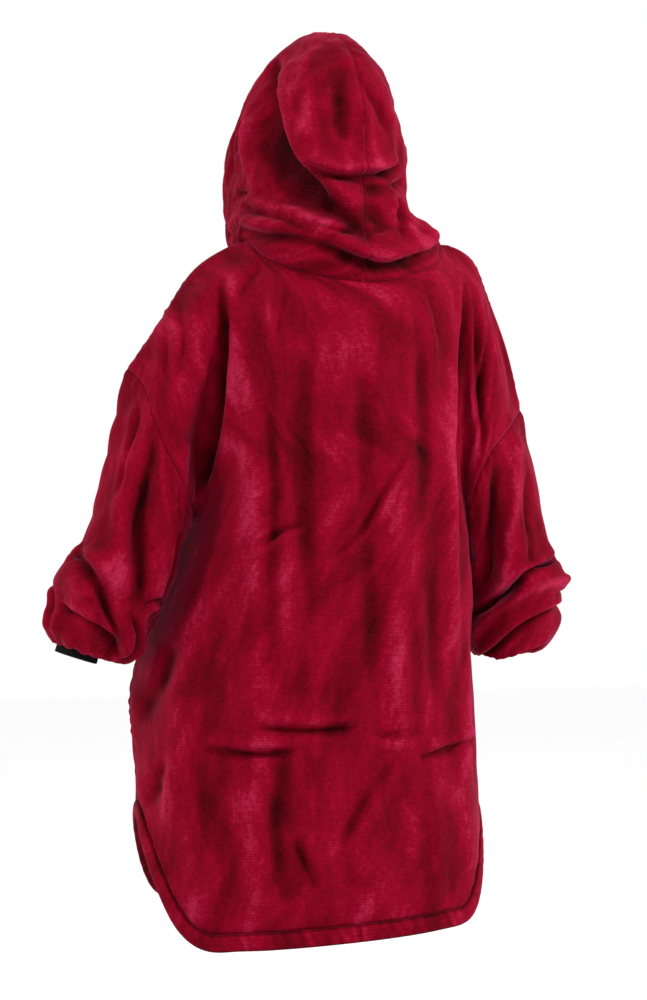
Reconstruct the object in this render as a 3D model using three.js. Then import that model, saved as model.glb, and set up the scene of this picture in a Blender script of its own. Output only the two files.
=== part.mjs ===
// Wearable blanket hoodie: a very large hooded pullover of plush fleece, filled out as worn, hood up.
// Millimetres. +Z is up, the front faces -Y and the garment's own left is +X.
// The origin is the middle of the shoulders, inside the base of the neck.
// Each cloth piece is a grid of points on the outer face, closed to a wall by a second face inside it.
import * as THREE from 'three';

// Cloth
const WALL = 4;
const SEAM_GAP = 0.3;
const FACE_HEM_WALL = 7;
// Each side of a seam stands back by a little over half of the gap
const CUT_BACK = 0.55 * SEAM_GAP;
const FLEECE_ROUGHNESS = 0.95;
const RIB_ROUGHNESS = 0.9;

// Grid cells between seam ends: what meets at a seam has the same number on both sides
const CELLS = { side: 13, armhole: 13, shoulder: 6, neck: 12, hoodLow: 6, hoodHigh: 8, sleeve: 18 };

// A panel's rows lie closer towards the shoulders by rowEase. Its seams draw the cloth in over a share of
// its width and height, and then each inner point is drawn towards its neighbours.
const PANEL = { rowEase: 1.35, sideReach: 0.22, hemReach: 0.2, topReach: 0.16 };
const SMOOTHING = { passes: 3, share: 0.45 };

// Hem: each panel is lowest at its middle and rises in a rounded corner to the side seam. It hangs a
// little lower on the left, by the tilt times x.
const HEM = { backLow: -917, frontLow: -893, tilt: -0.06, sideTop: -765, cornerRun: 165 };
const HEM_BAND = { height: 24, thickness: 11, squareness: 2.6, sides: 8 };

// Torso, from the hem up: the two side edges in x and y and the deepest points of back and front. On the
// left the side seam is drawn forward beside the sleeve, so the body's flank closes the gap behind it.
const TORSO_SQUARENESS = 2.35;
const TORSO = [
  { z: -960, left: 271, leftY: -30, right: -229, rightY: -30, back: 146, front: -214 },
  { z: -880, left: 273, leftY: -30, right: -212, rightY: -30, back: 148, front: -215 },
  { z: -800, left: 277, leftY: -30, right: -205, rightY: -30, back: 149, front: -216 },
  { z: -700, left: 282, leftY: -42, right: -203, rightY: -29, back: 147, front: -214 },
  { z: -630, left: 285, leftY: -76, right: -202, rightY: -28, back: 143, front: -212 },
  { z: -560, left: 268, leftY: -96, right: -195, rightY: -25, back: 139, front: -208 },
  { z: -490, left: 240, leftY: -98, right: -190, rightY: 8, back: 137, front: -200 },
  { z: -420, left: 218, leftY: -72, right: -185, rightY: 0, back: 137, front: -190 },
  { z: -350, left: 192, leftY: -18, right: -178, rightY: -12, back: 139, front: -180 },
  { z: -250, left: 187, leftY: -10, right: -175, rightY: -10, back: 140, front: -170 },
  { z: -150, left: 180, leftY: -8, right: -172, rightY: -8, back: 137, front: -158 },
  { z: -60, left: 170, leftY: -6, right: -168, rightY: -6, back: 130, front: -140 },
  { z: 40, left: 152, leftY: -5, right: -158, rightY: -5, back: 122, front: -124 },
];

// Top of the shoulders, from left to right: the height of the ridge that parts back from front
const SHOULDER_ROUNDING = 112;
const SHOULDER_SEAM = { y: -2, clearOfNeck: 5, clearOfSleeve: 8 };
const RIDGE = [
  { x: -276, z: -221 },
  { x: -254, z: -146 },
  { x: -232, z: -84 },
  { x: -208, z: -26 },
  { x: -190, z: 1 },
  { x: -149, z: 19 },
  { x: -60, z: 27 },
  { x: 60, z: 27 },
  { x: 135, z: 11 },
  { x: 186, z: -13 },
  { x: 216, z: -42 },
  { x: 255, z: -105 },
  { x: 298, z: -169 },
];

// Seam between neck and hood, a closed loop that starts at the left and runs round the back
const NECK = [
  { at: 'left', x: 135, y: 0, z: 10 },
  { at: 'back left', x: 104, y: 72, z: -27 },
  { at: 'back', x: -18, y: 116, z: -56 },
  { at: 'back right', x: -119, y: 71, z: -25 },
  { at: 'right', x: -150, y: 0, z: 14 },
  { at: 'front right', x: -106, y: -76, z: -36 },
  { at: 'front', x: 0, y: -112, z: -72 },
  { at: 'front left', x: 98, y: -76, z: -34 },
];

// Cloth over an arm: how much deeper than wide it stands, and the width over which it joins the torso
const ARM_CLOTH = { fullness: 1.12, blend: 26 };

// The two sides: the armhole seam of the dropped shoulder from its top to the underarm on the back and
// on the front, the line of the arm under the shoulder, and the rings of the sleeve down to the cuff.
// A ring's lean turns it about Y, wide is its half width seen from behind and deep its half depth.
const SIDES = {
  left: {
    out: 1,
    underarm: -372,
    armholeBack: [
      { x: 298, y: -5, z: -169 },
      { x: 281, y: 36, z: -193 },
      { x: 272, y: 66, z: -235 },
      { x: 258, y: 76, z: -275 },
      { x: 234, y: 62, z: -315 },
      { x: 214, y: 34, z: -347 },
    ],
    armholeFront: [
      { x: 286, y: -50, z: -193 },
      { x: 277, y: -78, z: -235 },
      { x: 260, y: -88, z: -278 },
      { x: 237, y: -76, z: -316 },
      { x: 215, y: -48, z: -348 },
    ],
    arm: [
      { x: 166, z: -78, radius: 60 },
      { x: 249, z: -202, radius: 60 },
      { x: 276, z: -300, radius: 64 },
      { x: 284, z: -400, radius: 67 },
    ],
    rings: [
      { row: 7, x: 287, y: -12, z: -404, lean: 4, wide: 66, deep: 72 },
      { row: 9, x: 301, y: -16, z: -438, lean: 10, wide: 74, deep: 80 },
      { row: 11, x: 316, y: -22, z: -470, lean: 14, wide: 77, deep: 84 },
      { row: 13, x: 326, y: -27, z: -501, lean: 16, wide: 77, deep: 83 },
      { row: 15, x: 334, y: -32, z: -531, lean: 18, wide: 73, deep: 76 },
      { row: 16, x: 340, y: -35, z: -548, lean: 18, wide: 63, deep: 66 },
      { row: 17, x: 349, y: -38, z: -560, lean: 18, wide: 48, deep: 50 },
      { row: 18, x: 359, y: -40, z: -556, lean: 18, wide: 33, deep: 31 },
    ],
    folds: [
      { around: 0.00, down: 0.66, aroundEnd: 0.30, downEnd: 0.96, width: 0.055, rise: -12 },
      { around: -0.02, down: 0.82, aroundEnd: 0.16, downEnd: 1.0, width: 0.050, rise: 8 },
      { around: 0.24, down: 0.20, aroundEnd: 0.27, downEnd: 0.80, width: 0.055, rise: -13 },
      { around: 0.38, down: 0.62, aroundEnd: 0.50, downEnd: 0.86, width: 0.055, rise: -10 },
      { around: 0.60, down: 0.50, aroundEnd: 0.82, downEnd: 0.92, width: 0.055, rise: -10 },
      { around: 0.70, down: 0.25, aroundEnd: 0.74, downEnd: 0.70, width: 0.060, rise: -8 },
    ],
    cuff: { drop: 15, outer: 29.5, inner: 26 },
  },
  right: {
    out: -1,
    underarm: -400,
    armholeBack: [
      { x: -273, y: -10, z: -221 },
      { x: -243, y: 36, z: -246 },
      { x: -208, y: 56, z: -282 },
      { x: -187, y: 60, z: -319 },
      { x: -177, y: 47, z: -354 },
      { x: -183, y: 16, z: -382 },
    ],
    armholeFront: [
      { x: -257, y: -58, z: -246 },
      { x: -228, y: -86, z: -282 },
      { x: -207, y: -92, z: -322 },
      { x: -194, y: -76, z: -358 },
      { x: -186, y: -46, z: -386 },
    ],
    arm: [
      { x: -147, z: -54, radius: 60 },
      { x: -207, z: -228, radius: 60 },
      { x: -218, z: -320, radius: 58 },
      { x: -232, z: -400, radius: 55 },
    ],
    rings: [
      { row: 6, x: -256, y: -15, z: -424, lean: 3, wide: 61, deep: 72 },
      { row: 8, x: -263, y: -20, z: -446, lean: 4, wide: 67, deep: 80 },
      { row: 10, x: -267, y: -26, z: -466, lean: 5, wide: 70, deep: 84 },
      { row: 12, x: -265, y: -31, z: -492, lean: 5, wide: 65, deep: 82 },
      { row: 14, x: -269, y: -36, z: -523, lean: 5, wide: 72, deep: 80 },
      { row: 15, x: -266, y: -39, z: -548, lean: 5, wide: 66, deep: 72 },
      { row: 16, x: -263, y: -41, z: -566, lean: 5, wide: 53, deep: 58 },
      { row: 17, x: -259, y: -42, z: -570, lean: 5, wide: 42, deep: 46 },
      { row: 18, x: -257, y: -42, z: -558, lean: 5, wide: 34, deep: 35 },
    ],
    folds: [
      { around: -0.04, down: 0.66, aroundEnd: 0.34, downEnd: 0.88, width: 0.055, rise: -11 },
      { around: -0.02, down: 0.52, aroundEnd: 0.28, downEnd: 0.72, width: 0.055, rise: 6 },
      { around: 0.10, down: 0.12, aroundEnd: 0.22, downEnd: 0.60, width: 0.055, rise: -9 },
      { around: 0.60, down: 0.50, aroundEnd: 0.80, downEnd: 0.90, width: 0.055, rise: -9 },
      { around: 0.72, down: 0.25, aroundEnd: 0.74, downEnd: 0.62, width: 0.060, rise: -8 },
    ],
    cuff: { drop: 12, outer: 32, inner: 28 },
  },
};
const CUFF_RIBS = { count: 36, rise: 1.2 };

// Hood, upright and facing -Y before it is turned: s runs from the face opening (0) to the back (1).
// forward and half give its level section at the ears, seamForward and seamHeight the seam over the crown.
const HOOD = { x: 17, y: -15, turn: 11, earHeight: 90, tuck: 3 };
const HOOD_ARCHES = [
  { s: 0.00, forward: 104, half: 112, seamForward: 119, seamHeight: 270, roundness: 1.35 },
  { s: 0.25, forward: 55, half: 118, seamForward: 66, seamHeight: 300, roundness: 1.12 },
  { s: 0.50, forward: -18, half: 112, seamForward: 0, seamHeight: 307, roundness: 1.05 },
  { s: 0.70, forward: -82, half: 89, seamForward: -62, seamHeight: 286, roundness: 1.05 },
  { s: 0.85, forward: -122, half: 51, seamForward: -108, seamHeight: 240, roundness: 1.05 },
  { s: 1.00, forward: -140, half: 0, seamForward: -136, seamHeight: 170, roundness: 1.0 },
];
// Below the ears: how far the cloth stands out as it drapes down to the neck seam, from the ears down
const HOOD_DRAPE = [
  { down: 0.0, out: 0 },
  { down: 0.33, out: 0 },
  { down: 0.67, out: 14 },
  { down: 0.83, out: 11 },
  { down: 1.0, out: 0 },
];
// Folds of the hood run flat over its skin: s counts as this many millimetres, and they fade below the crown
const HOOD_SKIN = { width: 300, crownFade: 30 };
// Deep folds of the hood: s and height along each fold, its half width and how far it sinks or stands out
const HOOD_FOLDS = {
  left: [
    { s: 0.42, z: 270, sEnd: 0.60, zEnd: 115, width: 26, rise: -20 },
    { s: 0.56, z: 150, sEnd: 0.80, zEnd: 40, width: 24, rise: -13 },
    { s: 0.56, z: 262, sEnd: 0.70, zEnd: 130, width: 24, rise: 9 },
    { s: 0.68, z: 150, sEnd: 0.97, zEnd: 25, width: 24, rise: 9 },
  ],
  right: [
    { s: 0.70, z: 112, sEnd: 1.0, zEnd: 86, width: 20, rise: -9 },
    { s: 0.42, z: 12, sEnd: 0.94, zEnd: 22, width: 24, rise: 13 },
  ],
};

// Deep folds of back and front, as lines seen square on, with half width and rise
const BACK_FOLDS = [
  { x: 192, z: -60, xEnd: 190, zEnd: -350, width: 24, rise: -16 },
  { x: -166, z: -20, xEnd: -168, zEnd: -380, width: 20, rise: -12 },
  { x: 120, z: -250, xEnd: 105, zEnd: -560, width: 26, rise: 8 },
  { x: -75, z: -330, xEnd: -60, zEnd: -700, width: 24, rise: 6 },
  { x: 200, z: -520, xEnd: 246, zEnd: -760, width: 20, rise: -13 },
  { x: 150, z: -668, xEnd: -30, zEnd: -672, width: 16, rise: -7 },
  { x: -60, z: -720, xEnd: 40, zEnd: -860, width: 20, rise: -8 },
  { x: -110, z: -650, xEnd: -150, zEnd: -900, width: 26, rise: 8 },
];
const FRONT_FOLDS = [
  { x: 190, z: -60, xEnd: 190, zEnd: -350, width: 30, rise: -3 },
  { x: -170, z: -60, xEnd: -174, zEnd: -390, width: 26, rise: -10 },
  { x: 90, z: -200, xEnd: 120, zEnd: -640, width: 26, rise: 9 },
  { x: -80, z: -230, xEnd: -95, zEnd: -700, width: 26, rise: 8 },
  { x: 10, z: -420, xEnd: -20, zEnd: -860, width: 28, rise: -9 },
  { x: 226, z: -560, xEnd: 235, zEnd: -740, width: 24, rise: 12 },
];

const COLOURS = { fleece: 0x8e0c2c, rib: 0x0c0b0d };

const DEGREE = Math.PI / 180;
const clamp = (value, low, high) => Math.min(Math.max(value, low), high);
const point = (row) => new THREE.Vector3(row.x, row.y, row.z);
const mix = (a, b, share) => a.clone().lerp(b, share);

// A smooth function through one column of a table, against the column that orders its rows
function column(table, key, name) {
  const last = table.length - 1;
  const slopes = table.map((row, i) => {
    const before = table[Math.max(i - 1, 0)];
    const after = table[Math.min(i + 1, last)];
    return (after[name] - before[name]) / (after[key] - before[key]);
  });
  return (at) => {
    let i = 0;
    while (i < last - 1 && at > table[i + 1][key]) i += 1;
    const span = table[i + 1][key] - table[i][key];
    const t = clamp((at - table[i][key]) / span, 0, 1);
    const rest = 1 - t;
    return (
      rest * rest * (1 + 2 * t) * table[i][name] +
      t * t * (3 - 2 * t) * table[i + 1][name] +
      span * t * rest * (rest * slopes[i] - t * slopes[i + 1])
    );
  };
}

// All the columns of a table as functions of its key
function columns(table, key) {
  const names = Object.keys(table[0]).filter((name) => name !== key);
  return Object.fromEntries(names.map((name) => [name, column(table, key, name)]));
}

// Points at equal steps along a smooth curve through the given ones
function evenly(points, cells) {
  const curve = new THREE.CatmullRomCurve3(points, false, 'centripetal');
  curve.arcLengthDivisions = 600;
  return curve.getSpacedPoints(cells);
}

function smoothMax(a, b, blend) {
  const share = clamp(0.5 + (0.5 * (a - b)) / blend, 0, 1);
  return b + (a - b) * share + blend * share * (1 - share);
}

// Distance from a point to a stretch between two others in a plane, and how far along it lies
function toStretch(px, py, ax, ay, bx, by) {
  const part = (px - ax) * (bx - ax) + (py - ay) * (by - ay);
  const along = clamp(part / ((bx - ax) ** 2 + (by - ay) ** 2), 0, 1);
  return { along, distance: Math.hypot(px - ax - along * (bx - ax), py - ay - along * (by - ay)) };
}

// Rise of a soft fold at a distance from its line, fading towards both ends
function foldRise(fold, near) {
  const fade = clamp(4 * near.along, 0, 1) * clamp(4 * (1 - near.along), 0, 1);
  return fold.rise * fade * Math.exp(-((near.distance / fold.width) ** 2));
}

const torso = columns(TORSO, 'z');
const ridgeHeight = column(RIDGE, 'x', 'z');

// Depth at which back and front part on the side of the torso that x is on
function sideDepth(x, z) {
  return 2 * x > torso.left(z) + torso.right(z) ? torso.leftY(z) : torso.rightY(z);
}

// How far out the torso reaches at x and z, towards the back (facing 1) or the front (facing -1)
function torsoReach(x, z, facing) {
  const left = torso.left(z);
  const right = torso.right(z);
  const across = clamp(Math.abs((2 * x - left - right) / (left - right)), 0, 1);
  const side = (1 - across ** TORSO_SQUARENESS) ** (1 / TORSO_SQUARENESS);
  const below = clamp((ridgeHeight(x) - z) / SHOULDER_ROUNDING, 0, 1);
  const top = Math.sqrt(1 - (1 - below) ** 2);
  const deepest = facing > 0 ? torso.back(z) : -torso.front(z);
  const parting = facing * sideDepth(x, z);
  return (deepest - parting) * side * top + parting;
}

// How far out the cloth over an arm reaches at x and z
function armReach(side, x, z) {
  let reach = 0;
  for (let i = 0; i < side.arm.length - 1; i += 1) {
    const a = side.arm[i];
    const b = side.arm[i + 1];
    const near = toStretch(x, z, a.x, a.z, b.x, b.z);
    const radius = a.radius + near.along * (b.radius - a.radius);
    reach = Math.max(reach, Math.sqrt(Math.max(radius ** 2 - near.distance ** 2, 0)));
  }
  return ARM_CLOTH.fullness * reach;
}

// Depth of the back or front cloth at x and z
function panelDepth(x, z, facing) {
  const arms = Math.max(armReach(SIDES.left, x, z), armReach(SIDES.right, x, z));
  let reach = smoothMax(torsoReach(x, z, facing), arms, ARM_CLOTH.blend);
  for (const fold of facing > 0 ? BACK_FOLDS : FRONT_FOLDS) {
    reach += foldRise(fold, toStretch(x, z, fold.x, fold.z, fold.xEnd, fold.zEnd));
  }
  return facing * reach;
}

// Seams: each is one row of points that both of its pieces use
function seamsOfSide(side) {
  const edge = side.out > 0 ? torso.left : torso.right;
  const depth = side.out > 0 ? torso.leftY : torso.rightY;
  const onSide = (z) => new THREE.Vector3(edge(z), depth(z), z);
  const rows = 24;
  const sideLine = Array.from({ length: rows + 1 }, (_, i) => {
    return onSide(HEM.sideTop + ((side.underarm - HEM.sideTop) * i) / rows);
  });
  const underarm = onSide(side.underarm);
  const top = point(side.armholeBack[0]);
  const back = [...side.armholeBack.map(point), underarm].reverse();
  const front = [top, ...side.armholeFront.map(point), underarm].reverse();
  const neckEnd = point(side.out > 0 ? NECK[0] : NECK[4]);
  const ridge = RIDGE.filter((row) => {
    const pastNeck = side.out * (row.x - neckEnd.x) > SHOULDER_SEAM.clearOfNeck;
    return pastNeck && side.out * (top.x - row.x) > SHOULDER_SEAM.clearOfSleeve;
  }).map((row) => new THREE.Vector3(row.x, SHOULDER_SEAM.y, row.z));
  if (side.out < 0) ridge.reverse();
  return {
    side: evenly(sideLine, CELLS.side),
    armholeBack: evenly(back, CELLS.armhole),
    armholeFront: evenly(front, CELLS.armhole),
    shoulder: evenly([neckEnd, ...ridge, top], CELLS.shoulder),
  };
}

// Hem edge of back or front from left to right
function hemEdge(facing) {
  const low = facing > 0 ? HEM.backLow : HEM.frontLow;
  const steps = 120;
  const level = [];
  for (let i = 0; i <= steps; i += 1) {
    const angle = (Math.PI * i) / steps;
    const sine = Math.abs(Math.sin(angle)) ** (2 / TORSO_SQUARENESS);
    const cosine = Math.sign(Math.cos(angle)) * Math.abs(Math.cos(angle)) ** (2 / TORSO_SQUARENESS);
    level.push({ cosine, sine });
  }
  const place = ({ cosine, sine }, z) => {
    const middle = (torso.left(z) + torso.right(z)) / 2;
    const half = (torso.left(z) - torso.right(z)) / 2;
    const deepest = facing > 0 ? torso.back(z) : torso.front(z);
    const parting = cosine > 0 ? torso.leftY(z) : torso.rightY(z);
    return new THREE.Vector3(middle + half * cosine, parting + (deepest - parting) * sine, z);
  };
  const flat = level.map((turn) => place(turn, low));
  const run = [0];
  for (let i = 1; i <= steps; i += 1) run.push(run[i - 1] + flat[i].distanceTo(flat[i - 1]));
  const line = level.map((turn, i) => {
    const corner = clamp(Math.min(run[i], run[steps] - run[i]) / HEM.cornerRun, 0, 1);
    const lowest = low + HEM.tilt * flat[i].x;
    return place(turn, lowest + (HEM.sideTop - lowest) * (0.5 + 0.5 * Math.cos(Math.PI * corner)));
  });
  return evenly(line, 2 * CELLS.shoulder + CELLS.neck);
}

// The neck loop in equal steps: the back half and the front half, both from left to right
function neckEdges() {
  const back = evenly(NECK.slice(0, 5).map(point), CELLS.neck);
  const front = evenly([NECK[0], NECK[7], NECK[6], NECK[5], NECK[4]].map(point), CELLS.neck);
  return { back, front };
}

const seams = { left: seamsOfSide(SIDES.left), right: seamsOfSide(SIDES.right), neck: neckEdges() };

// A panel between four rows of seam points. rows[j][i] runs up from the hem and from left to right.
function panelGrid(facing) {
  const which = facing > 0 ? 'armholeBack' : 'armholeFront';
  const bottom = hemEdge(facing);
  const neck = facing > 0 ? seams.neck.back : seams.neck.front;
  const top = [
    ...[...seams.left.shoulder].reverse(),
    ...neck.slice(1, -1),
    ...seams.right.shoulder,
  ];
  const left = [...seams.left.side, ...seams.left[which].slice(1)];
  const right = [...seams.right.side, ...seams.right[which].slice(1)];
  const across = bottom.length - 1;
  const up = left.length - 1;
  const flat = (u, v, i, j) => {
    // Place seen square on: between hem and top, moved so that both edges are met
    const between = mix(bottom[i], top[i], v);
    const leftMiss = left[j].clone().sub(mix(bottom[0], top[0], v));
    const rightMiss = right[j].clone().sub(mix(bottom[across], top[across], v));
    return between.addScaledVector(leftMiss, 1 - u).addScaledVector(rightMiss, u);
  };
  const depthMiss = (edgePoint) => edgePoint.y - panelDepth(edgePoint.x, edgePoint.z, facing);
  const fall = (t, reach) => clamp(1 - t / reach, 0, 1) ** 2;
  const rows = [];
  for (let j = 0; j <= up; j += 1) {
    const v = 1 - (1 - j / up) ** PANEL.rowEase;
    const row = [];
    for (let i = 0; i <= across; i += 1) {
      const u = i / across;
      const place = flat(u, v, i, j);
      const l = fall(u, PANEL.sideReach);
      const r = fall(1 - u, PANEL.sideReach);
      const b = fall(v, PANEL.hemReach);
      const t = fall(1 - v, PANEL.topReach);
      const miss =
        l * depthMiss(left[j]) + r * depthMiss(right[j]) + b * depthMiss(bottom[i]) + t * depthMiss(top[i]) -
        l * b * depthMiss(left[0]) - r * b * depthMiss(right[0]) -
        l * t * depthMiss(left[up]) - r * t * depthMiss(right[up]);
      place.y = panelDepth(place.x, place.z, facing) + miss;
      row.push(place);
    }
    rows.push(row);
  }
  smoothInside(rows);
  const setRow = (j, points) => points.forEach((p, i) => rows[j][i].copy(p));
  setRow(0, bottom);
  setRow(up, top);
  for (let j = 0; j <= up; j += 1) {
    rows[j][0].copy(left[j]);
    rows[j][across].copy(right[j]);
  }
  return rows;
}

// Draw each inner point of a grid towards its neighbours
function smoothInside(rows) {
  for (let pass = 0; pass < SMOOTHING.passes; pass += 1) {
    const before = rows.map((row) => row.map((p) => p.clone()));
    for (let j = 1; j < rows.length - 1; j += 1) {
      for (let i = 1; i < rows[j].length - 1; i += 1) {
        const around = before[j - 1][i].clone().add(before[j + 1][i]);
        around.add(before[j][i - 1]).add(before[j][i + 1]);
        rows[j][i].lerp(around.multiplyScalar(0.25), SMOOTHING.share);
      }
    }
  }
}

// A sleeve: rows[j][i] runs down from the armhole, and round from its top by the back and the underarm
function sleeveGrid(side, seam) {
  const loop = [...seam.armholeBack].reverse().concat(seam.armholeFront.slice(1, -1));
  const around = loop.length;
  const rows = Array.from({ length: CELLS.sleeve + 1 }, () => []);
  loop.forEach((start, i) => {
    const angle = (2 * Math.PI * i) / around;
    const line = [{ row: 0, x: start.x, y: start.y, z: start.z }];
    for (const ring of side.rings) {
      const reach = ring.wide * Math.cos(angle);
      const lean = ring.lean * DEGREE;
      line.push({
        row: ring.row,
        x: ring.x + side.out * reach * Math.cos(lean),
        y: ring.y + ring.deep * Math.sin(angle),
        z: ring.z + reach * Math.sin(lean),
      });
    }
    const along = columns(line, 'row');
    rows.forEach((row, j) => row.push(new THREE.Vector3(along.x(j), along.y(j), along.z(j))));
  });
  // Folds sink or lift the rows between the armhole and the cuff, away from the middle of the sleeve
  for (let j = 1; j < CELLS.sleeve - 1; j += 1) {
    const middle = rows[j].reduce((sum, p) => sum.add(p), new THREE.Vector3()).divideScalar(around);
    rows[j].forEach((p, i) => {
      let rise = 0;
      const down = j / CELLS.sleeve;
      for (const fold of side.folds) {
        for (const turn of [i / around, i / around - 1]) {
          const near = toStretch(turn, down, fold.around, fold.down, fold.aroundEnd, fold.downEnd);
          rise += foldRise(fold, near);
        }
      }
      const outward = p.clone().sub(middle);
      p.addScaledVector(outward.normalize(), rise);
    });
  }
  return rows;
}

const arches = columns(HOOD_ARCHES, 's');
const drape = column(HOOD_DRAPE, 'down', 'out');

// Half of the hood: rows[j][i] runs up from the neck seam to the crown, and from the face to the back
function hoodGrid(side, name) {
  const { back, front } = seams.neck;
  const half = CELLS.neck / 2;
  const toBack = side.out > 0 ? back.slice(1, half + 1) : [...back].reverse().slice(1, half + 1);
  const fromFront = side.out > 0 ? front.slice(0, half + 1).reverse() : front.slice(half);
  const neckLine = [...fromFront, ...toBack];
  const turn = HOOD.turn * DEGREE;
  const place = (forward, reach, z) => {
    const across = side.out * reach;
    return new THREE.Vector3(
      HOOD.x + forward * Math.sin(turn) + across * Math.cos(turn),
      HOOD.y - forward * Math.cos(turn) + across * Math.sin(turn),
      z,
    );
  };
  const rows = [];
  for (let j = 0; j <= CELLS.hoodLow + CELLS.hoodHigh; j += 1) {
    const row = neckLine.map((neckPoint, i) => {
      const s = i / CELLS.neck;
      const ear = place(arches.forward(s), arches.half(s), HOOD.earHeight);
      const fromMiddle = new THREE.Vector3(ear.x - HOOD.x, ear.y - HOOD.y, 0).normalize();
      let p;
      if (j <= CELLS.hoodLow) {
        const down = 1 - j / CELLS.hoodLow;
        p = mix(ear, neckPoint, down ** HOOD.tuck);
        p.z = ear.z + (neckPoint.z - ear.z) * down;
        p.addScaledVector(fromMiddle, drape(down));
      } else {
        const rise = ((j - CELLS.hoodLow) / CELLS.hoodHigh) * (Math.PI / 2);
        const height = HOOD.earHeight + (arches.seamHeight(s) - HOOD.earHeight) * Math.sin(rise);
        const toSeam = (arches.seamForward(s) - arches.forward(s)) * (1 - Math.cos(rise));
        const forward = arches.forward(s) + toSeam;
        p = place(forward, arches.half(s) * Math.cos(rise) ** arches.roundness(s), height);
      }
      const inside = clamp(4 * (1 - s), 0, 1) * clamp(j / 2, 0, 1);
      const belowSeam = clamp((arches.seamHeight(s) - p.z) / HOOD_SKIN.crownFade, 0, 1);
      for (const fold of HOOD_FOLDS[name]) {
        const scale = HOOD_SKIN.width;
        const near = toStretch(s * scale, p.z, fold.s * scale, fold.z, fold.sEnd * scale, fold.zEnd);
        p.addScaledVector(fromMiddle, foldRise(fold, near) * inside * belowSeam);
      }
      return p;
    });
    rows.push(row);
  }
  return rows;
}

// Normals of all the grids together, so that two pieces lean alike where they meet
const cloth = {
  back: { rows: panelGrid(1), turned: false },
  front: { rows: panelGrid(-1), turned: true },
  sleeve_left: { rows: sleeveGrid(SIDES.left, seams.left), turned: true, tube: true },
  sleeve_right: { rows: sleeveGrid(SIDES.right, seams.right), turned: false, tube: true },
  hood_left: { rows: hoodGrid(SIDES.left, 'left'), turned: false },
  hood_right: { rows: hoodGrid(SIDES.right, 'right'), turned: true },
};

const keyOf = (p) => [p.x, p.y, p.z].map((value) => Math.round(value * 100)).join(' ');
const normals = new Map();

function quadsOf({ rows, tube, turned }) {
  const quads = [];
  const count = rows[0].length;
  for (let j = 0; j < rows.length - 1; j += 1) {
    for (let i = 0; i < (tube ? count : count - 1); i += 1) {
      const next = (i + 1) % count;
      const quad = [[j, i], [j, next], [j + 1, next], [j + 1, i]];
      quads.push(turned ? quad.reverse() : quad);
    }
  }
  return quads;
}

for (const piece of Object.values(cloth)) {
  for (const quad of quadsOf(piece)) {
    const [a, b, c, d] = quad.map(([j, i]) => piece.rows[j][i]);
    const normal = c.clone().sub(a).cross(d.clone().sub(b));
    for (const p of [a, b, c, d]) {
      const key = keyOf(p);
      if (!normals.has(key)) normals.set(key, new THREE.Vector3());
      normals.get(key).add(normal);
    }
  }
}
const normalAt = (p) => normals.get(keyOf(p)).clone().normalize();

// A closed mesh from rows of corner points and faces given as lists of corners
function meshOf(name, corners, faces, colour, roughness) {
  const positions = [];
  for (const face of faces) {
    for (let k = 1; k < face.length - 1; k += 1) {
      for (const corner of [face[0], face[k], face[k + 1]]) positions.push(...corners[corner].toArray());
    }
  }
  const geometry = new THREE.BufferGeometry();
  geometry.setAttribute('position', new THREE.Float32BufferAttribute(positions, 3));
  geometry.computeVertexNormals();
  const material = new THREE.MeshStandardMaterial({ color: colour, roughness, metalness: 0 });
  const mesh = new THREE.Mesh(geometry, material);
  mesh.name = name;
  return mesh;
}

// The wall of a cloth piece: its outer face, an inner face one wall thickness in, and its cut edges
function wallOf(name, piece, thickness) {
  const { rows, tube } = piece;
  const count = rows[0].length;
  const last = rows.length - 1;
  const inner = rows.length * count;
  const corners = new Array(2 * inner);
  rows.forEach((row, j) => row.forEach((p, i) => {
    const place = p.clone();
    const step = (dj, di) => {
      const to = rows[clamp(j + dj, 0, last)];
      return to[tube ? (i + di + count) % count : clamp(i + di, 0, count - 1)];
    };
    // Step back from a seam square to its own plane, so that both cut edges face each other
    const stepBack = (before, after, inside) => {
      const away = after.clone().sub(before).cross(normalAt(p)).normalize();
      if (away.dot(inside.clone().sub(p)) < 0) away.negate();
      place.addScaledVector(away, CUT_BACK);
    };
    if (j === 0 || j === last) stepBack(step(0, -1), step(0, 1), step(j ? -1 : 1, 0));
    if (!tube && (i === 0 || i === count - 1)) stepBack(step(-1, 0), step(1, 0), step(0, i ? -1 : 1));
    corners[j * count + i] = place;
    corners[inner + j * count + i] = place.clone().addScaledVector(normalAt(p), -thickness(i, j));
  }));
  const at = ([j, i]) => j * count + i;
  const faces = [];
  for (const quad of quadsOf(piece)) {
    faces.push(quad.map(at));
    faces.push(quad.map((corner) => inner + at(corner)).reverse());
  }
  // A cut edge is split along the same diagonal on both sides of a seam: from its lower outer corner
  const edge = (a, b) => {
    const first = rows[a[0]][a[1]];
    const second = rows[b[0]][b[1]];
    const lower = first.z - second.z || first.x - second.x;
    const strip = [at(a), inner + at(a), inner + at(b), at(b)];
    const split = lower < 0 ? strip : [strip[3], strip[0], strip[1], strip[2]];
    faces.push(piece.turned ? [split[0], split[3], split[2], split[1]] : split);
  };
  for (let i = 0; i < (tube ? count : count - 1); i += 1) {
    const next = (i + 1) % count;
    edge([0, i], [0, next]);
    edge([last, next], [last, i]);
  }
  for (let j = 0; !tube && j < last; j += 1) {
    edge([j + 1, 0], [j, 0]);
    edge([j, count - 1], [j + 1, count - 1]);
  }
  return meshOf(name, corners, faces, COLOURS.fleece, FLEECE_ROUGHNESS);
}

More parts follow.
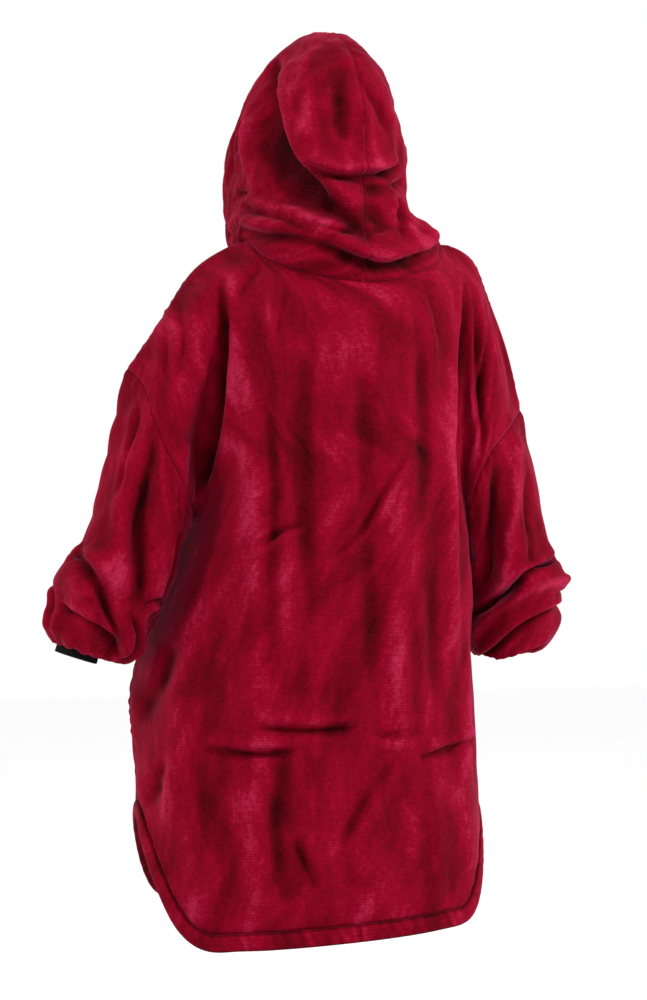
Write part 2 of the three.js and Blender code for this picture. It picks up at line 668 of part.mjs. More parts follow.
// The padded strip under a hem: a rounded section carried along the edge of its panel
function hemBand(name, piece) {
  const [edge, above] = piece.rows;
  const last = edge.length - 1;
  const corners = [];
  edge.forEach((p, i) => {
    const normal = normalAt(p);
    const down = p.clone().sub(above[i]).normalize();
    const along = edge[Math.min(i + 1, last)].clone().sub(edge[Math.max(i - 1, 0)]).normalize();
    if (i > 0 && i < last) down.addScaledVector(along, -down.dot(along)).normalize();
    const middle = p.clone().addScaledVector(normal, -WALL / 2);
    middle.addScaledVector(down, SEAM_GAP + HEM_BAND.height / 2);
    if (i === 0) middle.addScaledVector(along, SEAM_GAP / 2);
    if (i === last) middle.addScaledVector(along, -SEAM_GAP / 2);
    for (let k = 0; k < HEM_BAND.sides; k += 1) {
      const angle = (2 * Math.PI * (k + 0.5)) / HEM_BAND.sides;
      const power = 2 / HEM_BAND.squareness;
      const high = Math.sign(Math.cos(angle)) * Math.abs(Math.cos(angle)) ** power;
      const thick = Math.sign(Math.sin(angle)) * Math.abs(Math.sin(angle)) ** power;
      const reach = Math.cos(Math.PI / HEM_BAND.sides) ** power;
      corners.push(
        middle.clone()
          .addScaledVector(down, (-high / reach) * (HEM_BAND.height / 2))
          .addScaledVector(normal, (thick / reach) * (HEM_BAND.thickness / 2)),
      );
    }
  });
  const sides = HEM_BAND.sides;
  const faces = [];
  for (let i = 0; i < last; i += 1) {
    for (let k = 0; k < sides; k += 1) {
      const next = (k + 1) % sides;
      faces.push([i * sides + k, (i + 1) * sides + k, (i + 1) * sides + next, i * sides + next]);
    }
  }
  const start = Array.from({ length: sides }, (_, k) => k);
  faces.push(start, start.map((k) => last * sides + k).reverse());
  if (!piece.turned) faces.forEach((face) => face.reverse());
  return meshOf(name, corners, faces, COLOURS.fleece, FLEECE_ROUGHNESS);
}

// A knitted cuff: a short ribbed tube that hangs from the last ring of its sleeve
function cuffMesh(name, side) {
  const ring = side.rings[side.rings.length - 1];
  const lean = ring.lean * DEGREE;
  const outDirection = new THREE.Vector3(side.out * Math.cos(lean), 0, Math.sin(lean));
  const downDirection = new THREE.Vector3(side.out * Math.sin(lean), 0, -Math.cos(lean));
  const count = 2 * CUFF_RIBS.count;
  const corners = [];
  const levels = [
    { radius: side.cuff.outer, ribbed: true, drop: SEAM_GAP },
    { radius: side.cuff.outer, ribbed: true, drop: side.cuff.drop },
    { radius: side.cuff.inner, ribbed: false, drop: side.cuff.drop },
    { radius: side.cuff.inner, ribbed: false, drop: SEAM_GAP },
  ];
  for (const level of levels) {
    for (let i = 0; i < count; i += 1) {
      const angle = (2 * Math.PI * i) / count;
      const radius = level.radius + (level.ribbed && i % 2 ? CUFF_RIBS.rise : 0);
      corners.push(
        new THREE.Vector3(ring.x, ring.y + radius * Math.sin(angle), ring.z)
          .addScaledVector(outDirection, radius * Math.cos(angle))
          .addScaledVector(downDirection, level.drop),
      );
    }
  }
  const faces = [];
  levels.forEach((_, k) => {
    const below = (k + 1) % levels.length;
    for (let i = 0; i < count; i += 1) {
      const next = (i + 1) % count;
      const face = [k * count + i, below * count + i, below * count + next, k * count + next];
      faces.push(side.out > 0 ? face : face.reverse());
    }
  });
  return meshOf(name, corners, faces, COLOURS.rib, RIB_ROUGHNESS);
}

const plain = () => WALL;
const faceHem = (i) => (i === 0 ? FACE_HEM_WALL : WALL);

const group = new THREE.Group();
group.name = 'wearable_blanket_hoodie';
for (const [name, piece] of Object.entries(cloth)) {
  group.add(wallOf(name, piece, name.startsWith('hood') ? faceHem : plain));
}
group.add(hemBand('hem_band_back', cloth.back), hemBand('hem_band_front', cloth.front));
group.add(cuffMesh('cuff_left', SIDES.left), cuffMesh('cuff_right', SIDES.right));

export default group;
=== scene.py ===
"""Wearable blanket hoodie: crimson plush fleece, filled out as worn, with the hood up.

The shape is worked out in millimetres in the frame of the solids: +Z up, front -Y, own left +X.
Each cloth piece starts as the coarse grid of its solid, is drawn through by a smooth surface, gets its
seams, creases and folds, and is closed to a thin shell.
"""
import math

import bpy
import numpy as np
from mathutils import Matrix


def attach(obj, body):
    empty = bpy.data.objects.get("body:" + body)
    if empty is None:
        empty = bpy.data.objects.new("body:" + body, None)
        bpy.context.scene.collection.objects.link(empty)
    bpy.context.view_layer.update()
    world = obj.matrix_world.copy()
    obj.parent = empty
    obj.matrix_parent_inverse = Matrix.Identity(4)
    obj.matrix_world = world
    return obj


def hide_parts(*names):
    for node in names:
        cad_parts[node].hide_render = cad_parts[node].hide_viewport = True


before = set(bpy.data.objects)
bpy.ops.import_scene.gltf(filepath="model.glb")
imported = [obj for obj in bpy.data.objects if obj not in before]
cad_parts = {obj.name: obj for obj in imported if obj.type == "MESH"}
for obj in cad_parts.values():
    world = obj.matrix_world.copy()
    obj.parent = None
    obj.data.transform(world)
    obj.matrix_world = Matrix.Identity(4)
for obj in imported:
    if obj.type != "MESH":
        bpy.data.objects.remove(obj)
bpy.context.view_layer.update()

MM = 0.001
SHELL = 3.6
SEAM_GAP = 0.3

# Sizes of the solids
CELLS = {"side": 13, "armhole": 13, "shoulder": 6, "neck": 12, "hood_low": 6, "hood_high": 8, "sleeve": 18}
HEM = {"back_low": -917, "front_low": -893, "tilt": -0.06, "side_top": -765, "corner_run": 165}
# The hem band: its section, how far it laps over the edge, its sides with the cloth's run over each, and
# the place and width of its join in the back hem
BAND = {"height": 24, "thickness": 11, "squareness": 2.6, "overlap": 1.5, "sides": 28, "side_run": 2.3,
        "join": 0.54, "join_width": 2.5}
SQUARENESS = 2.35
CURVE_STEPS = 60
SHOULDER_ROUNDING = 112
SMOOTHING = {"passes": 3, "share": 0.45}
# How the rows of a panel crowd towards the top, and how far its edges pull on its depth, as shares
PANEL = {"crowding": 1.35, "side_pull": 0.22, "hem_pull": 0.2, "top_pull": 0.16}
ARM = {"blend": 26, "depth": 1.12}


def table(names, *rows):
    """A short table as columns, each an array under its name."""
    return dict(zip(names.split(), np.array(rows, float).T))


TORSO = table(
    "z left left_y right right_y back front",
    (-960, 271, -30, -229, -30, 146, -214),
    (-880, 273, -30, -212, -30, 148, -215),
    (-800, 277, -30, -205, -30, 149, -216),
    (-700, 282, -42, -203, -29, 147, -214),
    (-630, 285, -76, -202, -28, 143, -212),
    (-560, 268, -96, -195, -25, 139, -208),
    (-490, 240, -98, -190, 8, 137, -200),
    (-420, 218, -72, -185, 0, 137, -190),
    (-350, 192, -18, -178, -12, 139, -180),
    (-250, 187, -10, -175, -10, 140, -170),
    (-150, 180, -8, -172, -8, 137, -158),
    (-60, 170, -6, -168, -6, 130, -140),
    (40, 152, -5, -158, -5, 122, -124),
)
RIDGE = table(
    "x z",
    (-276, -221), (-254, -146), (-232, -84), (-208, -26), (-190, 1), (-149, 19), (-60, 27),
    (60, 27), (135, 11), (186, -13), (216, -42), (255, -105), (298, -169),
)
# The neck seam from the left round the back and home by the front
NECK = np.array([
    (135, 0, 10), (104, 72, -27), (-18, 116, -56), (-119, 71, -25),
    (-150, 0, 14), (-106, -76, -36), (0, -112, -72), (98, -76, -34),
], float)

SIDES = {
    "left": {
        "out": 1,
        "underarm": -372,
        "armhole_back": [(298, -5, -169), (281, 36, -193), (272, 66, -235), (258, 76, -275), (234, 62, -315),
                         (214, 34, -347)],
        "armhole_front": [(286, -50, -193), (277, -78, -235), (260, -88, -278), (237, -76, -316),
                          (215, -48, -348)],
        "arm": table("x z radius", (166, -78, 60), (249, -202, 60), (276, -300, 64), (284, -400, 67)),
        "rings": table(
            "row x y z lean wide deep",
            (7, 287, -12, -404, 4, 66, 72),
            (9, 301, -16, -438, 10, 74, 80),
            (11, 316, -22, -470, 14, 77, 84),
            (13, 326, -27, -501, 16, 77, 83),
            (15, 334, -32, -531, 18, 73, 76),
            (16, 340, -35, -548, 18, 63, 66),
            (17, 349, -38, -560, 18, 48, 50),
            (18, 359, -40, -556, 18, 33, 31),
        ),
        "folds": [
            (0.00, 0.66, 0.30, 0.96, 0.055, -12),
            (-0.02, 0.82, 0.16, 1.0, 0.050, 8),
            (0.24, 0.20, 0.27, 0.80, 0.055, -13),
            (0.38, 0.62, 0.50, 0.86, 0.055, -10),
            (0.60, 0.50, 0.82, 0.92, 0.055, -10),
            (0.70, 0.25, 0.74, 0.70, 0.060, -8),
        ],
        "cuff": {"drop": 12, "outer": 29.5, "inner": 26},
    },
    "right": {
        "out": -1,
        "underarm": -400,
        "armhole_back": [(-273, -10, -221), (-243, 36, -246), (-208, 56, -282), (-187, 60, -319),
                         (-177, 47, -354), (-183, 16, -382)],
        "armhole_front": [(-257, -58, -246), (-228, -86, -282), (-207, -92, -322), (-194, -76, -358),
                          (-186, -46, -386)],
        "arm": table("x z radius", (-147, -54, 60), (-207, -228, 60), (-218, -320, 58), (-232, -400, 55)),
        "rings": table(
            "row x y z lean wide deep",
            (6, -256, -15, -424, 3, 61, 72),
            (8, -263, -20, -446, 4, 67, 80),
            (10, -267, -26, -466, 5, 70, 84),
            (12, -265, -31, -492, 5, 65, 82),
            (14, -269, -36, -523, 5, 72, 80),
            (15, -266, -39, -548, 5, 66, 72),
            (16, -263, -41, -566, 5, 53, 58),
            (17, -259, -42, -570, 5, 42, 46),
            (18, -257, -42, -558, 5, 34, 35),
        ),
        "folds": [
            (-0.04, 0.66, 0.34, 0.88, 0.055, -11),
            (-0.02, 0.52, 0.28, 0.72, 0.055, 6),
            (0.10, 0.12, 0.22, 0.60, 0.055, -9),
            (0.60, 0.50, 0.80, 0.90, 0.055, -9),
            (0.72, 0.25, 0.74, 0.62, 0.060, -8),
        ],
        "cuff": {"drop": 12, "outer": 32, "inner": 28},
    },
}

HOOD = {"x": 17, "y": -15, "turn": 11, "ear": 90, "tuck": 3}
# Half of the hood counts this much round, from its face edge to its back seam
HOOD_SKIN = 300
ARCHES = table(
    "s forward half seam_forward seam_height roundness",
    (0.00, 104, 112, 119, 270, 1.35),
    (0.25, 55, 118, 66, 300, 1.12),
    (0.50, -18, 112, 0, 307, 1.05),
    (0.70, -82, 89, -62, 286, 1.05),
    (0.85, -122, 51, -108, 240, 1.05),
    (1.00, -140, 0, -136, 170, 1.0),
)
DRAPE = table("down out", (0, 0), (0.33, 0), (0.67, 14), (0.83, 11), (1, 0))
HOOD_FOLDS = {
    "left": [
        (0.42, 270, 0.6, 115, 26, -20),
        (0.56, 150, 0.8, 40, 24, -13),
        (0.56, 262, 0.7, 130, 24, 9),
        (0.68, 150, 0.97, 25, 24, 9),
    ],
    "right": [(0.70, 112, 1.0, 86, 20, -9), (0.42, 12, 0.94, 22, 24, 13)],
}
BACK_FOLDS = [
    (192, -60, 190, -350, 24, -16),
    (-166, -20, -168, -380, 20, -12),
    (120, -250, 105, -560, 26, 8),
    (-75, -330, -60, -700, 24, 6),
    (200, -520, 246, -760, 20, -13),
    (150, -668, -30, -672, 16, -7),
    (-60, -720, 40, -860, 20, -8),
    (-110, -650, -150, -900, 26, 8),
]
FRONT_FOLDS = [
    (190, -60, 190, -350, 30, -3),
    (-170, -60, -174, -390, 26, -10),
    (90, -200, 120, -640, 26, 9),
    (-80, -230, -95, -700, 26, 8),
    (10, -420, -20, -860, 28, -9),
    (226, -560, 235, -740, 24, 12),
]


# Curves and smooth columns

def column(data, key, name):
    """A smooth function through one column of a table, against the column that orders its rows."""
    keys, values = data[key], data[name]
    slopes = np.empty(len(keys))
    slopes[1:-1] = (values[2:] - values[:-2]) / (keys[2:] - keys[:-2])
    slopes[0] = (values[1] - values[0]) / (keys[1] - keys[0])
    slopes[-1] = (values[-1] - values[-2]) / (keys[-1] - keys[-2])

    def smooth(at):
        at = np.asarray(at, float)
        i = np.clip(np.searchsorted(keys, at) - 1, 0, len(keys) - 2)
        span = keys[i + 1] - keys[i]
        t = np.clip((at - keys[i]) / span, 0, 1)
        rest = 1 - t
        return (rest * rest * (1 + 2 * t) * values[i] + t * t * (3 - 2 * t) * values[i + 1]
                + span * t * rest * (rest * slopes[i] - t * slopes[i + 1]))

    return smooth


def columns(data, key):
    return {name: column(data, key, name) for name in data if name != key}


def run_of(line):
    """Length along a line up to each of its points."""
    return np.concatenate([[0], np.cumsum(np.linalg.norm(np.diff(line, axis=0), axis=1))])


def along_line(wanted, run, line):
    """The places on a line at the wanted lengths along it."""
    return np.stack([np.interp(wanted, run, line[:, k]) for k in range(3)], axis=-1)


def squared(wave, squareness):
    """A sine or cosine drawn out, so that what turns with it runs round a squarer curve."""
    return np.sign(wave) * np.abs(wave) ** (2 / squareness)


def evenly(points, cells):
    """Points at equal steps along a smooth curve through the given ones."""
    points = np.asarray(points, float)
    ends = np.vstack([2 * points[0] - points[1], points, 2 * points[-1] - points[-2]])
    t = np.linspace(0, 1, CURVE_STEPS, endpoint=False)[:, None]
    dense = []
    for i in range(1, len(ends) - 2):
        gaps = [max(np.linalg.norm(ends[i + k] - ends[i + k - 1]) ** 0.5, 1e-4) for k in (0, 1, 2)]
        a, b, c, d = ends[i - 1:i + 3]
        start = ((b - a) / gaps[0] - (c - a) / (gaps[0] + gaps[1]) + (c - b) / gaps[1]) * gaps[1]
        end = ((c - b) / gaps[1] - (d - b) / (gaps[1] + gaps[2]) + (d - c) / gaps[2]) * gaps[1]
        dense.append(b + start * t + (3 * c - 3 * b - 2 * start - end) * t ** 2
                     + (2 * b - 2 * c + start + end) * t ** 3)
    dense = np.vstack(dense + [points[-1:]])
    run = run_of(dense)
    return along_line(np.linspace(0, run[-1], cells + 1), run, dense)


def to_stretch(px, py, ax, ay, bx, by):
    """Distance to a stretch between two points in a plane, and how far along it the nearest place is."""
    along = np.clip(((px - ax) * (bx - ax) + (py - ay) * (by - ay)) / ((bx - ax) ** 2 + (by - ay) ** 2), 0, 1)
    return np.hypot(px - ax - along * (bx - ax), py - ay - along * (by - ay)), along


def fold_rise(px, py, fold):
    """Rise of a soft fold at a place, fading towards both of its ends."""
    ax, ay, bx, by, width, rise = fold
    distance, along = to_stretch(px, py, ax, ay, bx, by)
    fade = np.clip(4 * along, 0, 1) * np.clip(4 * (1 - along), 0, 1)
    return rise * fade * np.exp(-((distance / width) ** 2))


def smooth_max(a, b, blend):
    share = np.clip(0.5 + 0.5 * (a - b) / blend, 0, 1)
    return b + (a - b) * share + blend * share * (1 - share)


torso = columns(TORSO, "z")
ridge_height = column(RIDGE, "x", "z")
arches = columns(ARCHES, "s")
drape = column(DRAPE, "down", "out")


# The coarse grids, as the solids have them

def side_depth(x, z):
    """Depth at which back and front part on the side of the torso that x is on."""
    return np.where(2 * x > torso["left"](z) + torso["right"](z), torso["left_y"](z), torso["right_y"](z))


def torso_reach(x, z, facing):
    left, right = torso["left"](z), torso["right"](z)
    across = np.clip(np.abs((2 * x - left - right) / (left - right)), 0, 1)
    side = (1 - across ** SQUARENESS) ** (1 / SQUARENESS)
    below = np.clip((ridge_height(x) - z) / SHOULDER_ROUNDING, 0, 1)
    top = np.sqrt(1 - (1 - below) ** 2)
    deepest = torso["back"](z) if facing > 0 else -torso["front"](z)
    parting = facing * side_depth(x, z)
    return (deepest - parting) * side * top + parting


def arm_reach(side, x, z):
    arm = side["arm"]
    reach = np.zeros_like(x)
    for i in range(len(arm["x"]) - 1):
        distance, along = to_stretch(x, z, arm["x"][i], arm["z"][i], arm["x"][i + 1], arm["z"][i + 1])
        radius = arm["radius"][i] + along * (arm["radius"][i + 1] - arm["radius"][i])
        reach = np.maximum(reach, np.sqrt(np.maximum(radius ** 2 - distance ** 2, 0)))
    return ARM["depth"] * reach


def panel_depth(x, z, facing):
    x, z = np.asarray(x, float), np.asarray(z, float)
    arms = np.maximum(arm_reach(SIDES["left"], x, z), arm_reach(SIDES["right"], x, z))
    reach = smooth_max(torso_reach(x, z, facing), arms, ARM["blend"])
    for fold in BACK_FOLDS if facing > 0 else FRONT_FOLDS:
        reach = reach + fold_rise(x, z, fold)
    return facing * reach


def side_seams(side):
    """The seam lines of one side: side seam, both halves of the armhole and the shoulder."""
    edge, depth = (torso["left"], torso["left_y"]) if side["out"] > 0 else (torso["right"], torso["right_y"])
    heights = np.linspace(HEM["side_top"], side["underarm"], 25)
    line = np.stack([edge(heights), depth(heights), heights], axis=1)
    underarm = line[-1]
    top = np.array(side["armhole_back"][0], float)
    neck_end = NECK[0] if side["out"] > 0 else NECK[4]
    between = [(x, -2, z) for x, z in zip(RIDGE["x"], RIDGE["z"])
               if side["out"] * neck_end[0] + 5 < side["out"] * x < side["out"] * top[0] - 8]
    between.sort(key=lambda p: side["out"] * p[0])
    return {
        "side": evenly(line, CELLS["side"]),
        "armhole_back": evenly([underarm, *side["armhole_back"][::-1]], CELLS["armhole"]),
        "armhole_front": evenly([underarm, *side["armhole_front"][::-1], top], CELLS["armhole"]),
        "shoulder": evenly([neck_end, *between, top], CELLS["shoulder"]),
    }


def hem_edge(facing):
    low = HEM["back_low"] if facing > 0 else HEM["front_low"]
    angles = np.linspace(0, math.pi, 2 * CURVE_STEPS + 1)
    sine, cosine = squared(np.sin(angles), SQUARENESS), squared(np.cos(angles), SQUARENESS)

    def place(z):
        middle = (torso["left"](z) + torso["right"](z)) / 2
        half = (torso["left"](z) - torso["right"](z)) / 2
        deepest = torso["back"](z) if facing > 0 else torso["front"](z)
        parting = np.where(cosine > 0, torso["left_y"](z), torso["right_y"](z))
        y = parting + (deepest - parting) * sine
        return np.stack([middle + half * cosine, y, z], axis=1)

    flat = place(np.full(len(angles), float(low)))
    run = run_of(flat)
    corner = np.clip(np.minimum(run, run[-1] - run) / HEM["corner_run"], 0, 1)
    lowest = low + HEM["tilt"] * flat[:, 0]
    line = place(lowest + (HEM["side_top"] - lowest) * (0.5 + 0.5 * np.cos(math.pi * corner)))
    return evenly(line, 2 * CELLS["shoulder"] + CELLS["neck"])


SEAMS = {name: side_seams(side) for name, side in SIDES.items()}
NECK_BACK = evenly(NECK[[0, 1, 2, 3, 4]], CELLS["neck"])
NECK_FRONT = evenly(NECK[[0, 7, 6, 5, 4]], CELLS["neck"])


def panel_grid(facing):
    """Back or front: grid[j, i] runs up from the hem and from left to right."""
    which = "armhole_back" if facing > 0 else "armhole_front"
    bottom = hem_edge(facing)
    neck = NECK_BACK if facing > 0 else NECK_FRONT
    top = np.vstack([SEAMS["left"]["shoulder"][::-1], neck[1:-1], SEAMS["right"]["shoulder"]])
    left = np.vstack([SEAMS["left"]["side"], SEAMS["left"][which][1:]])
    right = np.vstack([SEAMS["right"]["side"], SEAMS["right"][which][1:]])
    up, across = len(left) - 1, len(bottom) - 1
    v = (1 - (1 - np.arange(up + 1) / up) ** PANEL["crowding"])[:, None]
    u = (np.arange(across + 1) / across)[None, :]
    vv, uu = v[..., None], u[..., None]
    between = (1 - vv) * bottom[None] + vv * top[None]
    grid = (between + (1 - uu) * (left[:, None] - between[:, :1])
            + uu * (right[:, None] - between[:, -1:]))

    def miss(points):
        return points[:, 1] - panel_depth(points[:, 0], points[:, 2], facing)

    def fall(t, reach):
        return np.clip(1 - t / reach, 0, 1) ** 2

    l, r = fall(u, PANEL["side_pull"]), fall(1 - u, PANEL["side_pull"])
    b, t = fall(v, PANEL["hem_pull"]), fall(1 - v, PANEL["top_pull"])
    ml, mr, mb, mt = miss(left), miss(right), miss(bottom), miss(top)
    total = (l * ml[:, None] + r * mr[:, None] + b * mb[None] + t * mt[None]
             - l * b * ml[0] - r * b * mr[0] - l * t * ml[-1] - r * t * mr[-1])
    grid[..., 1] = panel_depth(grid[..., 0], grid[..., 2], facing) + total
    for _ in range(SMOOTHING["passes"]):
        around = (grid[:-2, 1:-1] + grid[2:, 1:-1] + grid[1:-1, :-2] + grid[1:-1, 2:]) / 4
        grid[1:-1, 1:-1] += SMOOTHING["share"] * (around - grid[1:-1, 1:-1])
    grid[0], grid[-1], grid[:, 0], grid[:, -1] = bottom, top, left, right
    return grid


def sleeve_grid(name):
    """A sleeve: grid[j, i] runs down from the armhole, and round from its top by the back."""
    side, seam = SIDES[name], SEAMS[name]
    loop = np.vstack([seam["armhole_back"][::-1], seam["armhole_front"][1:-1]])
    around = len(loop)
    angle = 2 * math.pi * np.arange(around) / around
    rings = side["rings"]
    lean = np.radians(rings["lean"])[:, None]
    reach = rings["wide"][:, None] * np.cos(angle)
    x = rings["x"][:, None] + side["out"] * reach * np.cos(lean)
    y = rings["y"][:, None] + rings["deep"][:, None] * np.sin(angle)
    z = rings["z"][:, None] + reach * np.sin(lean)
    lines = np.concatenate([loop[None], np.stack([x, y, z], axis=2)])
    keys = np.concatenate([[0], rings["row"]])
    rows = np.arange(CELLS["sleeve"] + 1)
    grid = np.empty((len(rows), around, 3))
    for i in range(around):
        for k in range(3):
            grid[:, i, k] = column({"row": keys, "value": lines[:, i, k]}, "row", "value")(rows)
    middle = grid.mean(axis=1, keepdims=True)
    outward = grid - middle
    outward /= np.linalg.norm(outward, axis=2, keepdims=True)
    turn, down = np.meshgrid(np.arange(around) / around, rows / CELLS["sleeve"])
    rise = sum(fold_rise(turn - wrap, down, fold) for fold in side["folds"] for wrap in (0, 1))
    rise[0] = 0
    rise[-2:] = 0
    return grid + outward * rise[..., None]


def hood_grid(name):
    """Half of the hood: grid[j, i] runs up from the neck seam, and from the face to the back."""
    out = SIDES[name]["out"]
    half = CELLS["neck"] // 2
    back = NECK_BACK if out > 0 else NECK_BACK[::-1]
    front = NECK_FRONT[:half + 1][::-1] if out > 0 else NECK_FRONT[half:]
    neck = np.vstack([front, back[1:half + 1]])
    s = np.arange(CELLS["neck"] + 1) / CELLS["neck"]
    turn = math.radians(HOOD["turn"])
    arch = {key: arches[key](s) for key in arches}

    def place(forward, reach, z):
        across = out * reach
        return np.stack([
            HOOD["x"] + forward * math.sin(turn) + across * math.cos(turn),
            HOOD["y"] - forward * math.cos(turn) + across * math.sin(turn),
            z + np.zeros_like(forward),
        ], axis=-1)

    ear = place(arch["forward"], arch["half"], HOOD["ear"])
    from_middle = ear - np.array([HOOD["x"], HOOD["y"], HOOD["ear"]])
    from_middle /= np.linalg.norm(from_middle, axis=1, keepdims=True)
    rows = []
    for j in range(CELLS["hood_low"] + CELLS["hood_high"] + 1):
        if j <= CELLS["hood_low"]:
            down = 1 - j / CELLS["hood_low"]
            row = ear + (neck - ear) * down ** HOOD["tuck"]
            row[:, 2] = ear[:, 2] + (neck[:, 2] - ear[:, 2]) * down
            row = row + from_middle * drape(down)
        else:
            rise = (j - CELLS["hood_low"]) / CELLS["hood_high"] * math.pi / 2
            height = HOOD["ear"] + (arch["seam_height"] - HOOD["ear"]) * math.sin(rise)
            forward = arch["forward"] + (arch["seam_forward"] - arch["forward"]) * (1 - math.cos(rise))
            row = place(forward, arch["half"] * max(math.cos(rise), 0) ** arch["roundness"], height)
        inside = np.clip(4 * (1 - s), 0, 1) * min(j / 2, 1)
        below = np.clip((arch["seam_height"] - row[:, 2]) / 30, 0, 1)
        for a, az, b, bz, width, lift in HOOD_FOLDS[name]:
            fold = (a * HOOD_SKIN, az, b * HOOD_SKIN, bz, width, lift)
            change = fold_rise(s * HOOD_SKIN, row[:, 2], fold)
            row = row + from_middle * (change * inside * below)[:, None]
        rows.append(row)
    return np.array(rows)


# Fine surfaces

def spline_matrix(count, factor, closed=False):
    """Weights that draw a smooth curve through evenly keyed points, at factor times as many steps."""
    size = count + 1 if closed else count
    system, right = np.zeros((size, size)), np.zeros((size, count))
    for i in range(size):
        if not closed and i in (0, size - 1):
            system[i, i] = 1
            continue
        if closed and i == size - 1:
            system[i, i], system[i, 0] = 1, -1
            continue
        before, after = (i - 1) % count, (i + 1) % count
        system[i, before] += 1
        system[i, i] += 4
        system[i, after] += 1
        right[i, before] += 6
        right[i, i] -= 12
        right[i, after] += 6
    bend = np.linalg.solve(system, right)
    steps = count * factor if closed else (count - 1) * factor + 1
    weights = np.zeros((steps, count))
    for k in range(steps):
        i = min(k // factor, size - 2)
        t = k / factor - i
        weights[k, i % count] += 1 - t
        weights[k, (i + 1) % count] += t
        weights[k] += ((1 - t) ** 3 - (1 - t)) / 6 * bend[i] + (t ** 3 - t) / 6 * bend[i + 1]
    return weights


def refined(grid, tube, fine):
    up = spline_matrix(grid.shape[0], fine["up"])
    across = spline_matrix(grid.shape[1], fine["across"], closed=tube)
    return np.einsum("aj,bi,jik->abk", up, across, grid)


def normals_of(grid, tube, turned):
    """Normals of a grid's points, pointing out of the garment: each is the sum over the faces round it."""
    rows, count = grid.shape[:2]
    beside = np.concatenate([grid, grid[:, :1]], axis=1) if tube else grid
    faces = np.cross(beside[1:, 1:] - beside[:-1, :-1], beside[1:, :-1] - beside[:-1, 1:])
    normal = np.zeros((rows, beside.shape[1], 3))
    for j in (0, 1):
        for i in (0, 1):
            normal[j:rows - 1 + j, i:beside.shape[1] - 1 + i] += faces
    if tube:
        normal[:, 0] += normal[:, -1]
        normal = normal[:, :-1]
    return -normal if turned else normal


def unit(vectors):
    return vectors / np.maximum(np.linalg.norm(vectors, axis=-1, keepdims=True), 1e-9)


def edge_runs(piece):
    """Each stretch of a piece's edge between two coarse points: its two ends and its fine places."""
    coarse, tube, fine = piece["coarse"], piece["tube"], piece["fine"]
    rows, count = coarse.shape[:2]
    wide = count * fine["across"] if tube else (count - 1) * fine["across"] + 1
    for j, row in ((0, 0), (rows - 1, (rows - 1) * fine["up"])):
        for i in range(count if tube else count - 1):
            steps = (i * fine["across"] + np.arange(fine["across"] + 1)) % wide
            yield coarse[j, i], coarse[j, (i + 1) % count], np.full(len(steps), row), steps
    if tube:
        return
    for i, place in ((0, 0), (count - 1, wide - 1)):
        for j in range(rows - 1):
            steps = j * fine["up"] + np.arange(fine["up"] + 1)
            yield coarse[j, i], coarse[j + 1, i], steps, np.full(len(steps), place)


def key_of(place):
    return tuple(np.round(place * 50).astype(int))


def spread(change, tube, reach):
    """Carry the changes at a grid's edges inwards, fading within a few steps."""
    rows, count = change.shape[:2]
    down = np.exp(-((np.arange(rows) / reach) ** 2))[:, None, None]
    side = np.exp(-((np.arange(count) / reach) ** 2))[None, :, None]
    total = change[:1] * down + change[-1:] * down[::-1]
    if not tube:
        inner = change.copy()
        inner[0] = inner[-1] = 0
        total = total + inner[:, :1] * side + inner[:, -1:] * side[:, ::-1]
    return total


def join_seams(cloth):
    """Give the pieces that meet at a seam the same edge and the same normals there."""
    shared = {}
    for piece in cloth.values():
        for start, end, j, i in edge_runs(piece):
            ends = (key_of(start), key_of(end))
            line = (j, i) if ends[0] <= ends[1] else (j[::-1], i[::-1])
            shared.setdefault(tuple(sorted(ends)), []).append((piece, line))
    for piece in cloth.values():
        piece["change"] = np.zeros_like(piece["grid"])
    for lines in shared.values():
        if len(lines) < 2:
            continue
        middle = np.mean([piece["grid"][line] for piece, line in lines], axis=0)
        for piece, line in lines:
            piece["change"][line] = middle - piece["grid"][line]
    for piece in cloth.values():
        piece["grid"] = piece["grid"] + spread(piece["change"], piece["tube"], 8)
        piece["whole"] = normals_of(piece["grid"], piece["tube"], piece["turned"])
        piece["normal"] = unit(piece["whole"])
        piece["change"] = np.zeros_like(piece["grid"])
    sums = {}
    for lines in shared.values():
        if len(lines) < 2:
            continue
        for piece, (rows, places) in lines:
            for j, i in zip(rows, places):
                key = key_of(piece["grid"][j, i])
                sums.setdefault(key, {})[(id(piece), j, i)] = piece
    for members in sums.values():
        total = unit(sum(piece["whole"][j, i] for (_, j, i), piece in members.items()))
        for (_, j, i), piece in members.items():
            piece["change"][j, i] = total - piece["normal"][j, i]
    for piece in cloth.values():
        piece["normal"] = unit(piece["normal"] + spread(piece["change"], piece["tube"], 5))


def runs_of(grid, tube=False):
    """Length of cloth across and up to each point, in millimetres; a tube gets one more column."""
    if tube:
        grid = np.concatenate([grid, grid[:, :1]], axis=1)
    across = np.linalg.norm(np.diff(grid, axis=1), axis=2)
    up = np.linalg.norm(np.diff(grid, axis=0), axis=2)
    across = np.concatenate([np.zeros((grid.shape[0], 1)), np.cumsum(across, axis=1)], axis=1)
    up = np.concatenate([np.zeros((1, grid.shape[1])), np.cumsum(up, axis=0)], axis=0)
    return across, up


def waves(x, y, seed, count, shortest, longest, slant=(0, math.pi)):
    """Smooth unevenness: a sum of waves of many lengths and directions."""
    rng = np.random.default_rng(seed)
    total = np.zeros_like(x)
    for _ in range(count):
        length = math.exp(rng.uniform(math.log(shortest), math.log(longest)))
        direction = rng.uniform(*slant)
        phase = rng.uniform(0, 2 * math.pi)
        total += np.sin(2 * math.pi * (x * math.cos(direction) + y * math.sin(direction)) / length + phase)
    return total / math.sqrt(count)


# Creases

